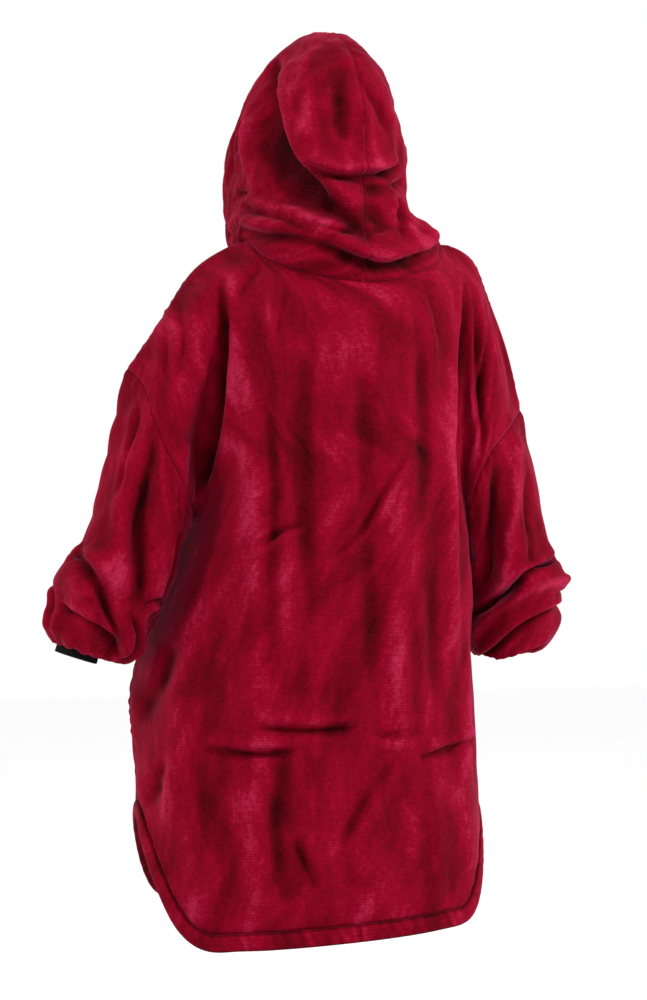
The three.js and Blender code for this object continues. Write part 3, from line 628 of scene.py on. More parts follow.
def crease_rise(px, py, width, rise, lip, *line):
    """Rise of a crease along a curved line.

    The middle sinks or lifts by rise, over the half width. With a lip, the cloth on the line's left
    hand stands up beside it by the lip, and the wall on that side is steep: the cloth there overhangs.
    Both fade towards the ends, unevenly.
    """
    points = evenly([(x, y, 0) for x, y in line], 6 * len(line))[:, :2]
    best = np.full(px.shape, np.inf)
    signed, along = np.zeros(px.shape), np.zeros(px.shape)
    steps = len(points) - 1
    for k in range(steps):
        (ax, ay), (bx, by) = points[k], points[k + 1]
        distance, part = to_stretch(px, py, ax, ay, bx, by)
        near = distance < best
        side = np.sign((bx - ax) * (py - ay) - (by - ay) * (px - ax))
        best = np.where(near, distance, best)
        signed = np.where(near, side * distance, signed)
        along = np.where(near, (k + part) / steps, along)
    length = np.linalg.norm(np.diff(points, axis=0), axis=1).sum()
    uneven = 1 + 0.22 * np.sin(along * 7.3 + length) + 0.12 * np.sin(along * 17.1 + 2 * length)
    fade = np.sqrt(np.clip(np.sin(math.pi * np.clip(along, 0, 1)), 0, 1)) * uneven
    fade = fade * np.clip(2.4 - 0.4 * best / width, 0, 1)
    steep = 0.55 * width if lip else width
    middle = rise * np.exp(-((best / np.where(signed > 0, steep, width)) ** 2))
    beside = lip * np.exp(-(((signed - 1.35 * width) / (1.1 * width)) ** 2))
    return fade * (middle + beside)


# Back, seen square on in x and z: half width, rise, lip, then the points of the line
BACK_CREASES = [
    (8, -15, 6, (199, -350), (190, -310), (181, -266), (174, -217), (172, -161), (172, -106), (175, -48)),
    (15, 9, 0, (204, -60), (206, -139), (207, -194), (213, -240)),
    (7, 6, 0, (221, -272), (230, -316), (228, -336)),
    (7, -11, 5, (-172, -34), (-165, -100), (-156, -155), (-152, -210), (-154, -280), (-150, -355),
     (-158, -402)),
    (6, -9, 4, (-183, -50), (-184, -129), (-183, -180), (-187, -242)),
    (6, -9, 4, (-202, -64), (-203, -119), (-195, -157), (-188, -193), (-192, -260), (-184, -310)),
    (15, 9, 0, (150, -130), (147, -200), (142, -284), (137, -405), (132, -560)),
    (14, 9, 0, (108, -350), (104, -470), (108, -580)),
    (15, 8, 0, (-46, -260), (-48, -400), (-52, -560), (-60, -720)),
    (10, 8, 0, (-140, -60), (-136, -200), (-134, -330), (-144, -590)),
    (12, -8, 0, (122, -180), (121, -290), (118, -400), (124, -600)),
    (16, -9, 0, (76, -120), (80, -300), (72, -480), (84, -640)),
    (20, 5, 0, (36, -110), (34, -260), (40, -420)),
    (16, -9, 0, (2, -150), (-6, -330), (-14, -560), (-20, -660)),
    (13, -6, 0, (-84, -110), (-92, -300), (-86, -480)),
    (12, -6, 0, (-114, -330), (-104, -520), (-112, -640)),
    (6, -7, 4, (146, -420), (112, -396), (78, -380)),
    (6, -7, 4, (38, -430), (-8, -383), (-33, -337), (-66, -286)),
    (7, -12, 6, (10, -652), (76, -655), (142, -650)),
    (7, -12, 6, (88, -682), (143, -685), (206, -680)),
    (7, -12, 6, (-180, -680), (-127, -688), (-80, -696)),
    (7, -8, 4, (-10, -662), (-44, -668), (-84, -664)),
    (9, -7, 4, (26, -812), (-8, -745), (-42, -700)),
    (8, -7, 3, (62, -872), (76, -834), (92, -800)),
    (9, -10, 5, (236, -548), (253, -598), (266, -627), (273, -655)),
    (8, -9, 5, (252, -700), (262, -730), (273, -768)),
    (13, 7, 0, (228, -610), (240, -700), (250, -800)),
    (15, -6, 0, (196, -560), (212, -690), (206, -830)),
    (15, 6, 0, (152, -720), (160, -800), (150, -890)),
    (13, -9, 0, (112, -690), (118, -790), (108, -885)),
    (15, 6, 0, (-4, -800), (-2, -850), (6, -900)),
    (13, -6, 0, (-84, -760), (-94, -820), (-90, -890)),
    (15, 7, 0, (-150, -640), (-158, -740), (-168, -860)),
    (9, -6, 3, (-176, -500), (-180, -620), (-176, -740)),
    (8, -5, 2, (120, -28), (150, -64), (170, -120)),
    (8, -5, 2, (86, -46), (104, -92), (112, -150)),
    (9, -5, 2, (-96, -52), (-112, -98), (-120, -160)),
    (7, -5, 2, (246, -110), (250, -160), (262, -214)),
    (8, -6, 3, (232, -70), (228, -130), (240, -190)),
    (6, -5, 2, (-212, -80), (-222, -140), (-232, -190)),
]
FRONT_CREASES = [
    (11, -9, -5, (186, -60), (184, -160), (192, -270), (206, -335)),
    (8, -9, 5, (-166, -60), (-164, -180), (-162, -300), (-172, -380)),
    (17, 8, 0, (132, -190), (142, -360), (150, -560)),
    (15, -6, 0, (96, -170), (100, -330), (92, -500)),
    (16, 7, 0, (54, -190), (60, -380), (50, -620)),
    (17, -6, 0, (6, -200), (-4, -380), (2, -560)),
    (16, 7, 0, (-50, -210), (-58, -420), (-50, -640)),
    (13, -6, 0, (-104, -180), (-112, -360), (-104, -560)),
    (5, -5, 3, (120, -660), (60, -668), (6, -660)),
    (5, -5, 3, (-36, -690), (-90, -694), (-150, -682)),
    (5, -5, 3, (60, -470), (14, -430), (-20, -370)),
    (8, -8, 5, (236, -560), (250, -640), (262, -720)),
    (16, 5, 0, (150, -700), (158, -790), (150, -860)),
    (14, -5, 0, (90, -720), (98, -800), (92, -870)),
    (15, 5, 0, (-30, -740), (-24, -810), (-30, -870)),
    (14, -5, 0, (-110, -700), (-118, -780), (-112, -850)),
    (8, -4, 2, (70, -96), (84, -140), (92, -200)),
    (8, -4, 2, (-66, -98), (-84, -150), (-88, -210)),
]
# A sleeve's creases, round from its top by the back (shares of a turn) and down (shares of its length)
SLEEVE_CREASES = {
    "left": [
        (0.026, -13, 0, (0.205, 0.03), (0.210, 0.12), (0.212, 0.24), (0.240, 0.39), (0.298, 0.54),
         (0.34, 0.66)),
        (0.032, 8, 0, (0.14, 0.08), (0.15, 0.27), (0.18, 0.40), (0.236, 0.55), (0.284, 0.65)),
        (0.030, 8, 0, (0.236, 0.03), (0.269, 0.15), (0.312, 0.38), (0.345, 0.54), (0.37, 0.66)),
        (0.026, -15, 6, (0.33, 0.92), (0.293, 0.826), (0.25, 0.736), (0.202, 0.625), (0.154, 0.562),
         (0.03, 0.45)),
        (0.020, -12, 6, (0.34, 0.91), (0.312, 0.882), (0.245, 0.826), (0.173, 0.785), (0.06, 0.75)),
        (0.014, -7, 3, (0.25, 0.815), (0.212, 0.75), (0.180, 0.68)),
        (0.018, -9, 5, (0.35, 0.69), (0.375, 0.632), (0.457, 0.632), (0.475, 0.69)),
        (0.022, -9, 3, (0.40, 0.30), (0.415, 0.45), (0.42, 0.60)),
        (0.020, -9, 5, (0.44, 0.95), (0.38, 0.82), (0.31, 0.70)),
        (0.022, 6, 0, (0.10, 0.60), (0.17, 0.69), (0.21, 0.78)),
        (0.022, -9, 4, (0.94, 0.30), (0.98, 0.42), (1.06, 0.52)),
        (0.020, -8, 4, (0.88, 0.58), (0.98, 0.70), (1.06, 0.88)),
        (0.020, -9, 4, (0.60, 0.60), (0.70, 0.74), (0.78, 0.92)),
        (0.020, -8, 4, (0.74, 0.56), (0.83, 0.68), (0.88, 0.90)),
        (0.024, -9, -4, (0.78, 0.06), (0.76, 0.28), (0.72, 0.52)),
        (0.030, 7, 0, (0.68, 0.14), (0.66, 0.36), (0.64, 0.56)),
        (0.016, -6, 3, (0.10, 0.04), (0.11, 0.16), (0.13, 0.26)),
        (0.016, -6, 3, (0.32, 0.03), (0.34, 0.12), (0.36, 0.22)),
        (0.050, 5, 0, (0.46, 0.04), (0.48, 0.20), (0.50, 0.42)),
    ],
    "right": [
        (0.026, 11, 0, (0.09, 0.02), (0.144, 0.07), (0.192, 0.13), (0.274, 0.23), (0.322, 0.35),
         (0.351, 0.60)),
        (0.022, -12, 0, (0.216, 0.04), (0.293, 0.12), (0.38, 0.28), (0.412, 0.54)),
        (0.022, -9, 0, (0.09, 0.12), (0.15, 0.20), (0.21, 0.32), (0.25, 0.42)),
        (0.024, -19, 7, (0.48, 0.735), (0.418, 0.688), (0.351, 0.63), (0.26, 0.475), (0.168, 0.41),
         (0.04, 0.36)),
        (0.026, 12, 0, (0.47, 0.83), (0.409, 0.771), (0.361, 0.708), (0.279, 0.625), (0.207, 0.59),
         (0.06, 0.55)),
        (0.020, -15, 6, (0.46, 0.93), (0.36, 0.86), (0.26, 0.78), (0.14, 0.72), (0.02, 0.69)),
        (0.018, -9, 4, (-0.02, 0.60), (0.06, 0.63), (0.16, 0.66)),
        (0.016, -8, 3, (0.31, 0.56), (0.34, 0.62), (0.40, 0.66)),
        (0.022, 7, 0, (0.40, 0.10), (0.43, 0.30), (0.45, 0.52)),
        (0.016, -8, 4, (0.38, 0.97), (0.26, 0.91), (0.12, 0.87)),
        (0.020, -8, 4, (0.56, 0.60), (0.68, 0.70), (0.78, 0.88)),
        (0.020, -8, 4, (0.64, 0.44), (0.78, 0.58), (0.88, 0.80)),
        (0.022, -8, -4, (0.80, 0.08), (0.78, 0.28), (0.72, 0.50)),
        (0.030, 7, 0, (0.70, 0.12), (0.68, 0.34), (0.64, 0.54)),
        (0.050, 4, 0, (0.46, 0.03), (0.49, 0.20), (0.52, 0.44)),
    ],
}
# The hood's creases, seen from behind: round from the left face edge (0) over the back seam (300) to the
# right face edge (600), and the height
HOOD_CREASES = [
    (17, -21, 6, (112, 268), (150, 222), (174, 187), (190, 150), (207, 114), (230, 82), (256, 54),
     (280, 30),
     (300, 2), (316, -20)),
    (17, -8, 0, (124, 226), (150, 172), (174, 124), (202, 86), (228, 58)),
    (8, 6, 0, (190, 262), (212, 222), (224, 190), (228, 160), (226, 130)),
    (13, -8, 3, (276, 130), (270, 150), (262, 178), (252, 210), (238, 246)),
    (8, -18, 9, (232, 104), (248, 92), (262, 86), (280, 84), (298, 87), (320, 91), (342, 98), (368, 110)),
    (19, -12, 0, (304, 84), (306, 60), (310, 36), (318, 8)),
    (12, 6, 0, (348, 84), (346, 60), (336, 34)),
    (9, -9, 5, (300, 70), (326, 74), (352, 82), (380, 92)),
    (10, -7, 0, (296, 236), (310, 206), (308, 172)),
    (14, -4, 0, (248, 200), (262, 168), (268, 132)),
    (6, -8, 5, (196, 40), (219, 30), (234, 21), (250, 15), (266, 12), (286, 10)),
    (7, -9, 6, (118, 62), (150, 52), (176, 43), (200, 33), (224, 22), (246, 8), (268, -3)),
    (10, -15, 9, (140, 26), (178, 14), (216, 7), (247, -4), (269, -15), (291, -28), (319, -34), (350, -23),
     (378, -11), (412, 4)),
    (7, -12, 6, (360, 62), (355, 44), (348, 28), (342, 8)),
    (12, 6, 0, (374, 42), (386, 26), (392, 6)),
    (11, 8, 0, (100, 206), (112, 156), (134, 108), (162, 72)),
    (9, -5, 3, (64, 210), (70, 150), (92, 96)),
    (8, -5, 3, (40, 230), (46, 150), (40, 70)),
    (9, -7, 4, (20, 34), (60, 24), (110, 30), (140, 32)),
    (7, -6, 3, (84, 70), (110, 78), (136, 74)),
    (9, -6, 3, (318, 226), (330, 190), (336, 150)),
    (12, 5, 0, (346, 240), (356, 200), (358, 160)),
    (13, -6, 0, (410, 236), (400, 190), (404, 140)),
    (13, -6, 0, (480, 256), (472, 200), (474, 140)),
    (9, -9, 6, (510, 44), (460, 38), (424, 28)),
    (7, -6, 4, (500, 84), (450, 76), (410, 82)),
    (8, -5, 3, (564, 60), (560, 140), (564, 210)),
    (12, 5, 0, (520, 250), (516, 160), (520, 70)),
]


def seam_relief(distance, along, seed, depth=2.8, width=4.5):
    """The dip of a sewn edge, with small uneven puckers beside it that end at the seam."""
    dip = -depth * np.exp(-((distance / width) ** 2))
    pucker = waves(along, distance * 0.25, seed, 6, 13, 48, (0, 0.25))
    beside = np.exp(-((distance / 15) ** 2)) * (1 - np.exp(-((distance / 4) ** 2)))
    return dip + 1.1 * pucker * beside


def away_from_seams(distance, reach):
    """Share of a crease that is left at a distance from the nearest seam."""
    return 1 - np.exp(-((distance / reach) ** 2))


# Meshes

def quads_of(index):
    """The four corners of each cell of a grid of places."""
    a, b, c, d = index[:-1, :-1], index[:-1, 1:], index[1:, 1:], index[1:, :-1]
    return np.stack([a, b, c, d], axis=-1).reshape(-1, 4)


def points_at(places, wide, count):
    """Points of places in rows of wide, where a row has count points and may end on its first again."""
    return (places // wide) * count + (places % wide) % count


def tube_quads(rows, count, looped=False):
    """Places of rings joined one to the next, and looped also the last to the first.

    A ring has one place more than it has points, so that its cloth has two sides at the closing seam.
    """
    index = np.arange(rows * (count + 1)).reshape(rows, count + 1)
    return quads_of(np.concatenate([index, index[:1]], axis=0) if looped else index)


def mesh_object(name, points, faces, cloth=None):
    """A smooth mesh; cloth holds the flat place of every corner of every face, in metres."""
    mesh = bpy.data.meshes.new(name)
    mesh.from_pydata(np.asarray(points).tolist(), [], faces)
    if cloth is not None:
        layer = mesh.uv_layers.new(name="cloth")
        layer.data.foreach_set("uv", cloth.astype(np.float32).ravel())
    mesh.polygons.foreach_set("use_smooth", np.ones(len(mesh.polygons), dtype=bool))
    mesh.update()
    obj = bpy.data.objects.new(name, mesh)
    bpy.context.scene.collection.objects.link(obj)
    return obj


def set_painted_shade(obj, values):
    """Painted shade and highlight for each point, kept as its 'relief' value, which the fleece takes its tone
    from: darker where the value is low, lighter where it is high.
    """
    relief = obj.data.attributes.new("relief", "FLOAT", "POINT")
    relief.data.foreach_set("value", values.ravel().astype(np.float32))


def shell_object(name, piece, rise, cloth, thickness=SHELL):
    """A closed thin shell over a fine grid; cloth gives the flat place of each of its points.

    A tube's cloth grid has one more column than its points, for the far side of the closing seam.
    """
    outer = piece["grid"] + piece["normal"] * rise[..., None]
    inner = outer - piece["normal"] * np.broadcast_to(thickness, rise.shape)[..., None]
    rows, count = outer.shape[:2]
    points = np.concatenate([outer.reshape(-1, 3), inner.reshape(-1, 3)]) * MM
    wide = count + 1 if piece["tube"] else count
    index = np.arange(rows * wide).reshape(rows, wide)
    behind = rows * wide
    outside = quads_of(index)
    edges = [index[0], index[-1][::-1]]
    if not piece["tube"]:
        edges += [index[:, 0][::-1], index[:, -1]]
    rims = [np.stack([edge[:-1], edge[:-1] + behind, edge[1:] + behind, edge[1:]], axis=-1) for edge in edges]
    faces = np.concatenate([outside, outside[:, ::-1] + behind, *rims])
    if piece["turned"]:
        faces = faces[:, ::-1]
    flat = np.concatenate([cloth.reshape(-1, 2)] * 2) * MM
    obj = mesh_object(name, points, points_at(faces, wide, count).tolist(), flat[faces.ravel()])
    # Painted shade and highlight: a dip deeper than the threshold darkens the tone, up to a limit, a ridge
    # lightens it, and the inner face is darkened all over.
    painted_hollow_shade = -PAINTED_SHADE_AND_HIGHLIGHT["deepest"] * np.tanh(np.maximum(-rise - PAINTED_SHADE_AND_HIGHLIGHT["from"], 0) / PAINTED_SHADE_AND_HIGHLIGHT["deepest"])
    seen = np.where(rise > 0, PAINTED_SHADE_AND_HIGHLIGHT["raised"] * rise, painted_hollow_shade)
    set_painted_shade(obj, np.concatenate([seen.ravel(), np.full(rise.size, PAINTED_SHADE_AND_HIGHLIGHT["inside"])]))
    return obj


# The cloth pieces

PANEL_FINE = {"up": 8, "across": 8}
HOOD_FINE = {"up": 12, "across": 8}
WEAVE_LEVEL = -450
# Painted shade and highlight from rise: the share of a ridge's rise painted as highlight, the depth at which
# painted shade in a dip starts, the most painted shade a dip gets, and the painted shade on the inner face
PAINTED_SHADE_AND_HIGHLIGHT = {"raised": 0.4, "from": 1.8, "deepest": 10, "inside": -6.0}
# Unevenness of the cloth: rise, number of waves, shortest and longest of them
UNEVEN = {
    "panel_broad": (1.9, 9, 70, 240),
    "panel_small": (0.45, 12, 20, 64),
    "sleeve": (1.3, 10, 34, 130),
    "hood_broad": (1.3, 10, 34, 140),
    "hood_small": (0.6, 8, 18, 40),
}
# The gathers at a wrist: their rise, their number round, and where along the sleeve they start
GATHERS = {"sleeve_left": 2.0, "sleeve_right": 0.9, "count": 21, "start": 0.76}
FACE_HEM = {"depth": 17, "wall": 6.4, "groove": 1.8, "groove_width": 2.6}


def cloth_piece(coarse, tube, turned, fine):
    return {"coarse": coarse, "tube": tube, "turned": turned, "fine": fine,
            "grid": refined(coarse, tube, fine)}


def all_cloth():
    cloth = {
        "back": cloth_piece(panel_grid(1), False, False, PANEL_FINE),
        "front": cloth_piece(panel_grid(-1), False, True, PANEL_FINE),
        "sleeve_left": cloth_piece(sleeve_grid("left"), True, True, PANEL_FINE),
        "sleeve_right": cloth_piece(sleeve_grid("right"), True, False, PANEL_FINE),
        "hood_left": cloth_piece(hood_grid("left"), False, False, HOOD_FINE),
        "hood_right": cloth_piece(hood_grid("right"), False, True, HOOD_FINE),
    }
    join_seams(cloth)
    return cloth


def uneven(kind, x, y, seed, slant=(0, math.pi)):
    rise, *shape = UNEVEN[kind]
    return rise * waves(x, y, seed, *shape, slant)


def panel(node, piece, creases, seed):
    across, up = runs_of(piece["grid"])
    x, z = piece["grid"][..., 0], piece["grid"][..., 2]
    rise = sum(crease_rise(x, z, *crease) for crease in creases)
    rise = rise + uneven("panel_broad", x, z * 0.22, seed, (-0.3, 0.3))
    rise = rise + uneven("panel_small", x, z * 0.6, seed + 1)
    to_side, to_end = np.minimum(across, across[:, -1:] - across), np.minimum(up, up[-1:] - up)
    nearest = np.minimum(to_side, to_end)
    along = np.where(to_side < to_end, up, across)
    rise = rise * away_from_seams(nearest, 15) + seam_relief(nearest, along, seed + 2)
    level = np.array([np.interp(WEAVE_LEVEL, z[:, i], up[:, i]) for i in range(z.shape[1])])
    obj = shell_object(f"cloth_{node}", piece, rise, np.stack([across, up - level], axis=-1))
    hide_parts(node)
    return obj


def sleeve(node, piece, creases, seed):
    cloth = np.stack(runs_of(piece["grid"], tube=True), axis=-1)
    across, up = cloth[:, :-1, 0], cloth[:, :-1, 1]
    rows, count = across.shape
    turn, down = np.meshgrid(np.arange(count) / count, np.arange(rows) / (rows - 1))
    rise = sum(crease_rise(turn - wrap, down, *crease) for crease in creases for wrap in (-1, 0, 1))
    bend = 2 * math.pi * turn
    rise = rise + uneven("sleeve", np.cos(bend) * 80, up + np.sin(bend) * 80, seed)
    start = GATHERS["start"]
    gather = np.clip((down - start) / (1 - start), 0, 1) * np.clip((1 - down) / 0.04, 0, 1)
    pleat = np.sin(GATHERS["count"] * bend + 1.8 * np.sin(3 * bend) + 2.5 * np.sin(2 * bend + 1))
    rise = rise + gather * GATHERS[node] * (pleat - 0.35)
    end = up[-1:] - up
    rise = rise * away_from_seams(up, 15) * away_from_seams(end, 5) + seam_relief(up, across, seed + 2)
    obj = shell_object(f"cloth_{node}", piece, rise, cloth)
    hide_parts(node)
    return obj


def hood_half(node, piece, seed):
    across, up = runs_of(piece["grid"])
    rows, count = across.shape
    skin = np.broadcast_to(np.arange(count) / (count - 1), (rows, count)) * HOOD_SKIN
    if node == "hood_right":
        skin = 2 * HOOD_SKIN - skin
    back = across[:, -1:] - across
    ends = np.minimum(up, up[-1:] - up)
    rise = sum(crease_rise(skin, piece["grid"][..., 2], *crease) for crease in HOOD_CREASES)
    ripple = uneven("hood_broad", across, up, seed) + uneven("hood_small", across, up, seed + 3)
    rise = rise + ripple * away_from_seams(back, 12)
    nearest = np.minimum(ends, back)
    along = np.where(back < ends, up, across)
    rise = rise * away_from_seams(ends, 9) + seam_relief(nearest, along, seed + 2, depth=1.9)
    groove = np.exp(-(((across - FACE_HEM["depth"]) / FACE_HEM["groove_width"]) ** 2))
    within = np.clip((FACE_HEM["depth"] - across) / 4, 0, 1)
    rise = rise - FACE_HEM["groove"] * groove + within * np.sqrt(np.clip(across / 3, 0, 1))
    thickness = SHELL + within * (FACE_HEM["wall"] - SHELL)
    piece["rise"], piece["across"] = rise, across
    obj = shell_object(f"cloth_{node}", piece, rise, np.stack([across, up], axis=-1), thickness)
    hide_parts(node)
    return obj


def hem_band(node, piece, seed):
    """The padded strip under a hem: a rounded section with small puckers, carried along the edge."""
    grid = piece["grid"]
    edge, above, side = grid[0], grid[piece["fine"]["up"]], piece["normal"][0]
    down, along = unit(edge - above), unit(np.gradient(edge, axis=0))
    level = down - along * np.sum(down * along, axis=1, keepdims=True)
    level[0], level[-1] = down[0], down[-1]
    level = unit(level)
    run = run_of(edge)
    middle = edge - side * SHELL / 2 + level * (BAND["height"] / 2 - BAND["overlap"])
    sides, count = BAND["sides"], len(edge)
    angle = 2 * math.pi * np.arange(sides) / sides
    high, thick = squared(np.cos(angle), BAND["squareness"]), squared(np.sin(angle), BAND["squareness"])
    place = run[:, None] + 5 * high[None]
    pucker = waves(place, 8 * thick[None] + 0 * place, seed, 8, 11, 44, (0, 0.4))
    size = 1 + 0.045 * pucker + 0.05 * np.sin(place / 31)
    from_join = (run - BAND["join"] * run[-1]) / BAND["join_width"]
    joins = (node == "hem_band_back") * np.exp(-(from_join ** 2))[:, None]
    size = size * (1 - 0.4 * joins)
    points = (middle[:, None] - level[:, None] * (high * BAND["height"] / 2)[None, :, None]
              + side[:, None] * (thick[None] * size * BAND["thickness"] / 2)[..., None])
    round_it = np.arange(sides + 1) * BAND["side_run"]
    cloth = np.stack([np.repeat(run, sides + 1), np.tile(round_it, count)], axis=1) * MM
    ring = np.arange(sides)
    faces = [*tube_quads(count, sides)[:, ::-1], ring, ((count - 1) * (sides + 1) + ring)[::-1]]
    if not piece["turned"]:
        faces = [face[::-1] for face in faces]
    joined = [points_at(face, sides + 1, sides).tolist() for face in faces]
    obj = mesh_object(f"padded_{node}", points.reshape(-1, 3) * MM, joined, cloth[np.concatenate(faces)])
    # Painted shade and highlight: the puckers' dips darker and their swells lighter, painted shade along the
    # band's top and bottom where it rolls under, and more painted shade at the pinched join of the back band.
    set_painted_shade(obj, 1.2 * pucker + np.where(np.abs(high) > 0.8, -5.0, 0.0)[None] - 7 * joins)
    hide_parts(node)
    return obj


KNIT = {"ribs": 36, "points_a_rib": 8, "levels": 12, "rise": 1.2, "rounding": 1.2, "waist": 0.5}


def cuff(node, side):
    """A ribbed band of elastic knit, a little waisted, hanging from the last ring of its sleeve."""
    rings, size = side["rings"], side["cuff"]
    middle = np.array([rings["x"][-1], rings["y"][-1], rings["z"][-1]])
    lean = math.radians(rings["lean"][-1])
    out_way = np.array([side["out"] * math.cos(lean), 0, math.sin(lean)])
    down_way = np.array([side["out"] * math.sin(lean), 0, -math.cos(lean)])
    count = KNIT["ribs"] * KNIT["points_a_rib"]
    angle = 2 * math.pi * np.arange(count) / count
    rib = KNIT["rise"] * (0.5 + 0.5 * np.cos(KNIT["ribs"] * angle))
    shares = np.arange(KNIT["levels"] + 1) / KNIT["levels"]
    rows = []
    for t in shares:
        round_off = KNIT["rounding"] * (1 - min(1, min(t, 1 - t) / 0.12)) ** 2
        rows.append((size["outer"] + rib - round_off - KNIT["waist"] * math.sin(math.pi * t), t))
    for t in 1 - shares:
        rows.append((np.full(count, size["inner"] + 0.4 * (1 - math.sin(math.pi * t))), t))
    points = np.array([
        middle + np.outer(radius * np.cos(angle), out_way) + np.outer(radius * np.sin(angle), (0, 1, 0))
        + down_way * (SEAM_GAP + t * (size["drop"] - SEAM_GAP))
        for radius, t in rows
    ])
    faces = tube_quads(len(rows), count, looped=True)
    if side["out"] > 0:
        faces = faces[:, ::-1]
    around, along = np.meshgrid(np.arange(count + 1) * (size["outer"] * 2 * math.pi / count),
                                np.arange(len(rows)) * 1.8)
    cloth = np.stack([around, along], axis=-1).reshape(-1, 2) * MM
    joined = points_at(faces, count + 1, count).tolist()
    obj = mesh_object(f"knit_{node}", points.reshape(-1, 3) * MM, joined, cloth[faces.ravel()])
    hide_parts(node)
    return obj


STITCH = {"from_edge": 13.5, "pitch": 4.2, "length": 3.2, "radius": 0.55, "sides": 6}
# A stitch's shape: how full it is at shares of its length
STITCH_SHAPE = [(0.0, 0.0), (0.12, 0.75), (0.5, 1.0), (0.88, 0.75), (1.0, 0.0)]


def stitch_row(name, piece):
    """Topstitching along the hem of the hood's face edge, one short rounded thread a stitch."""
    outer = piece["grid"] + piece["normal"] * piece["rise"][..., None]
    line, out = [], []
    for j in range(outer.shape[0]):
        share = np.interp(STITCH["from_edge"], piece["across"][j], np.arange(outer.shape[1]))
        i = int(share)
        line.append(outer[j, i] + (outer[j, i + 1] - outer[j, i]) * (share - i))
        out.append(piece["normal"][j, i])
    line, out = np.array(line), np.array(out)
    run = run_of(line)
    sides = STITCH["sides"]
    points, faces = [], []
    for start in np.arange(STITCH["pitch"], run[-1] - STITCH["pitch"], STITCH["pitch"]):
        first, last = along_line(start, run, line), along_line(start + STITCH["length"], run, line)
        up_way = unit(along_line(start, run, out))
        aside = unit(np.cross(last - first, up_way))
        base = len(points)
        for share, fullness in STITCH_SHAPE:
            centre = first + (last - first) * share + up_way * 0.2 * fullness
            for k in range(sides):
                turn = 2 * math.pi * k / sides
                reach = STITCH["radius"] * max(fullness, 0.15)
                points.append(centre + aside * reach * math.cos(turn) + up_way * reach * math.sin(turn))
        for ring in range(len(STITCH_SHAPE) - 1):
            for k in range(sides):
                low, high = base + ring * sides, base + (ring + 1) * sides
                faces.append([low + k, low + (k + 1) % sides, high + (k + 1) % sides, high + k])
        faces.append([base + k for k in range(sides)][::-1])
        faces.append([base + (len(STITCH_SHAPE) - 1) * sides + k for k in range(sides)])
    return mesh_object(name, np.array(points) * MM, faces)


# Materials

class Finish:
    """A node material in the making, round its own shader."""

    def __init__(self, name, **constants):
        self.material = bpy.data.materials.new(name)
        self.material.use_nodes = True
        self.nodes, self.links = self.material.node_tree.nodes, self.material.node_tree.links
        self.shader = self.nodes["Principled BSDF"]
        for key, value in constants.items():
            self.shader.inputs[key.replace("_", " ")].default_value = value

    def add(self, kind, **values):
        node = self.nodes.new(kind)
        for key, value in values.items():
            if key in node.inputs:
                node.inputs[key].default_value = value
            else:
                setattr(node, key, value)
        return node

    def texture(self, kind, place, **values):
        """A texture's value at a place."""
        node = self.add(kind, **values)
        self.links.new(place, node.inputs["Vector"])
        return node.outputs["Fac"]

    def noise(self, place, **values):
        return self.texture("ShaderNodeTexNoise", place, **values)

    def bands(self, place, **values):
        return self.texture("ShaderNodeTexWave", place, wave_type="BANDS", bands_direction="Y", **values)

    def total(self, parts):
        """The sum of weighted values."""
        total = None
        for value, weight in parts:
            step = self.add("ShaderNodeMath", operation="MULTIPLY_ADD")
            self.links.new(value, step.inputs[0])
            step.inputs[1].default_value = weight
            step.inputs[2].default_value = 0
            if total is not None:
                self.links.new(total, step.inputs[2])
            total = step.outputs["Value"]
        return total

    def tone(self, value, *stops):
        """Colour the shader by a value, through stops: a position and its red, green and blue."""
        node = self.add("ShaderNodeValToRGB")
        elements = node.color_ramp.elements
        for element, (position, *colour) in zip(elements, (stops[0], stops[-1])):
            element.position, element.color = position, (*colour, 1)
        for position, *colour in stops[1:-1]:
            elements.new(position).color = (*colour, 1)
        self.links.new(value, node.inputs["Fac"])
        self.links.new(node.outputs["Color"], self.shader.inputs["Base Color"])

    def relief(self, *layers):
        """Bumps one on the other: each layer is a height, its strength and its depth in metres."""
        normal = None
        for height, strength, distance in layers:
            bump = self.add("ShaderNodeBump", Strength=strength, Distance=distance)
            self.links.new(height, bump.inputs["Height"])
            if normal is not None:
                self.links.new(normal, bump.inputs["Normal"])
            normal = bump.outputs["Normal"]
        self.links.new(normal, self.shader.inputs["Normal"])


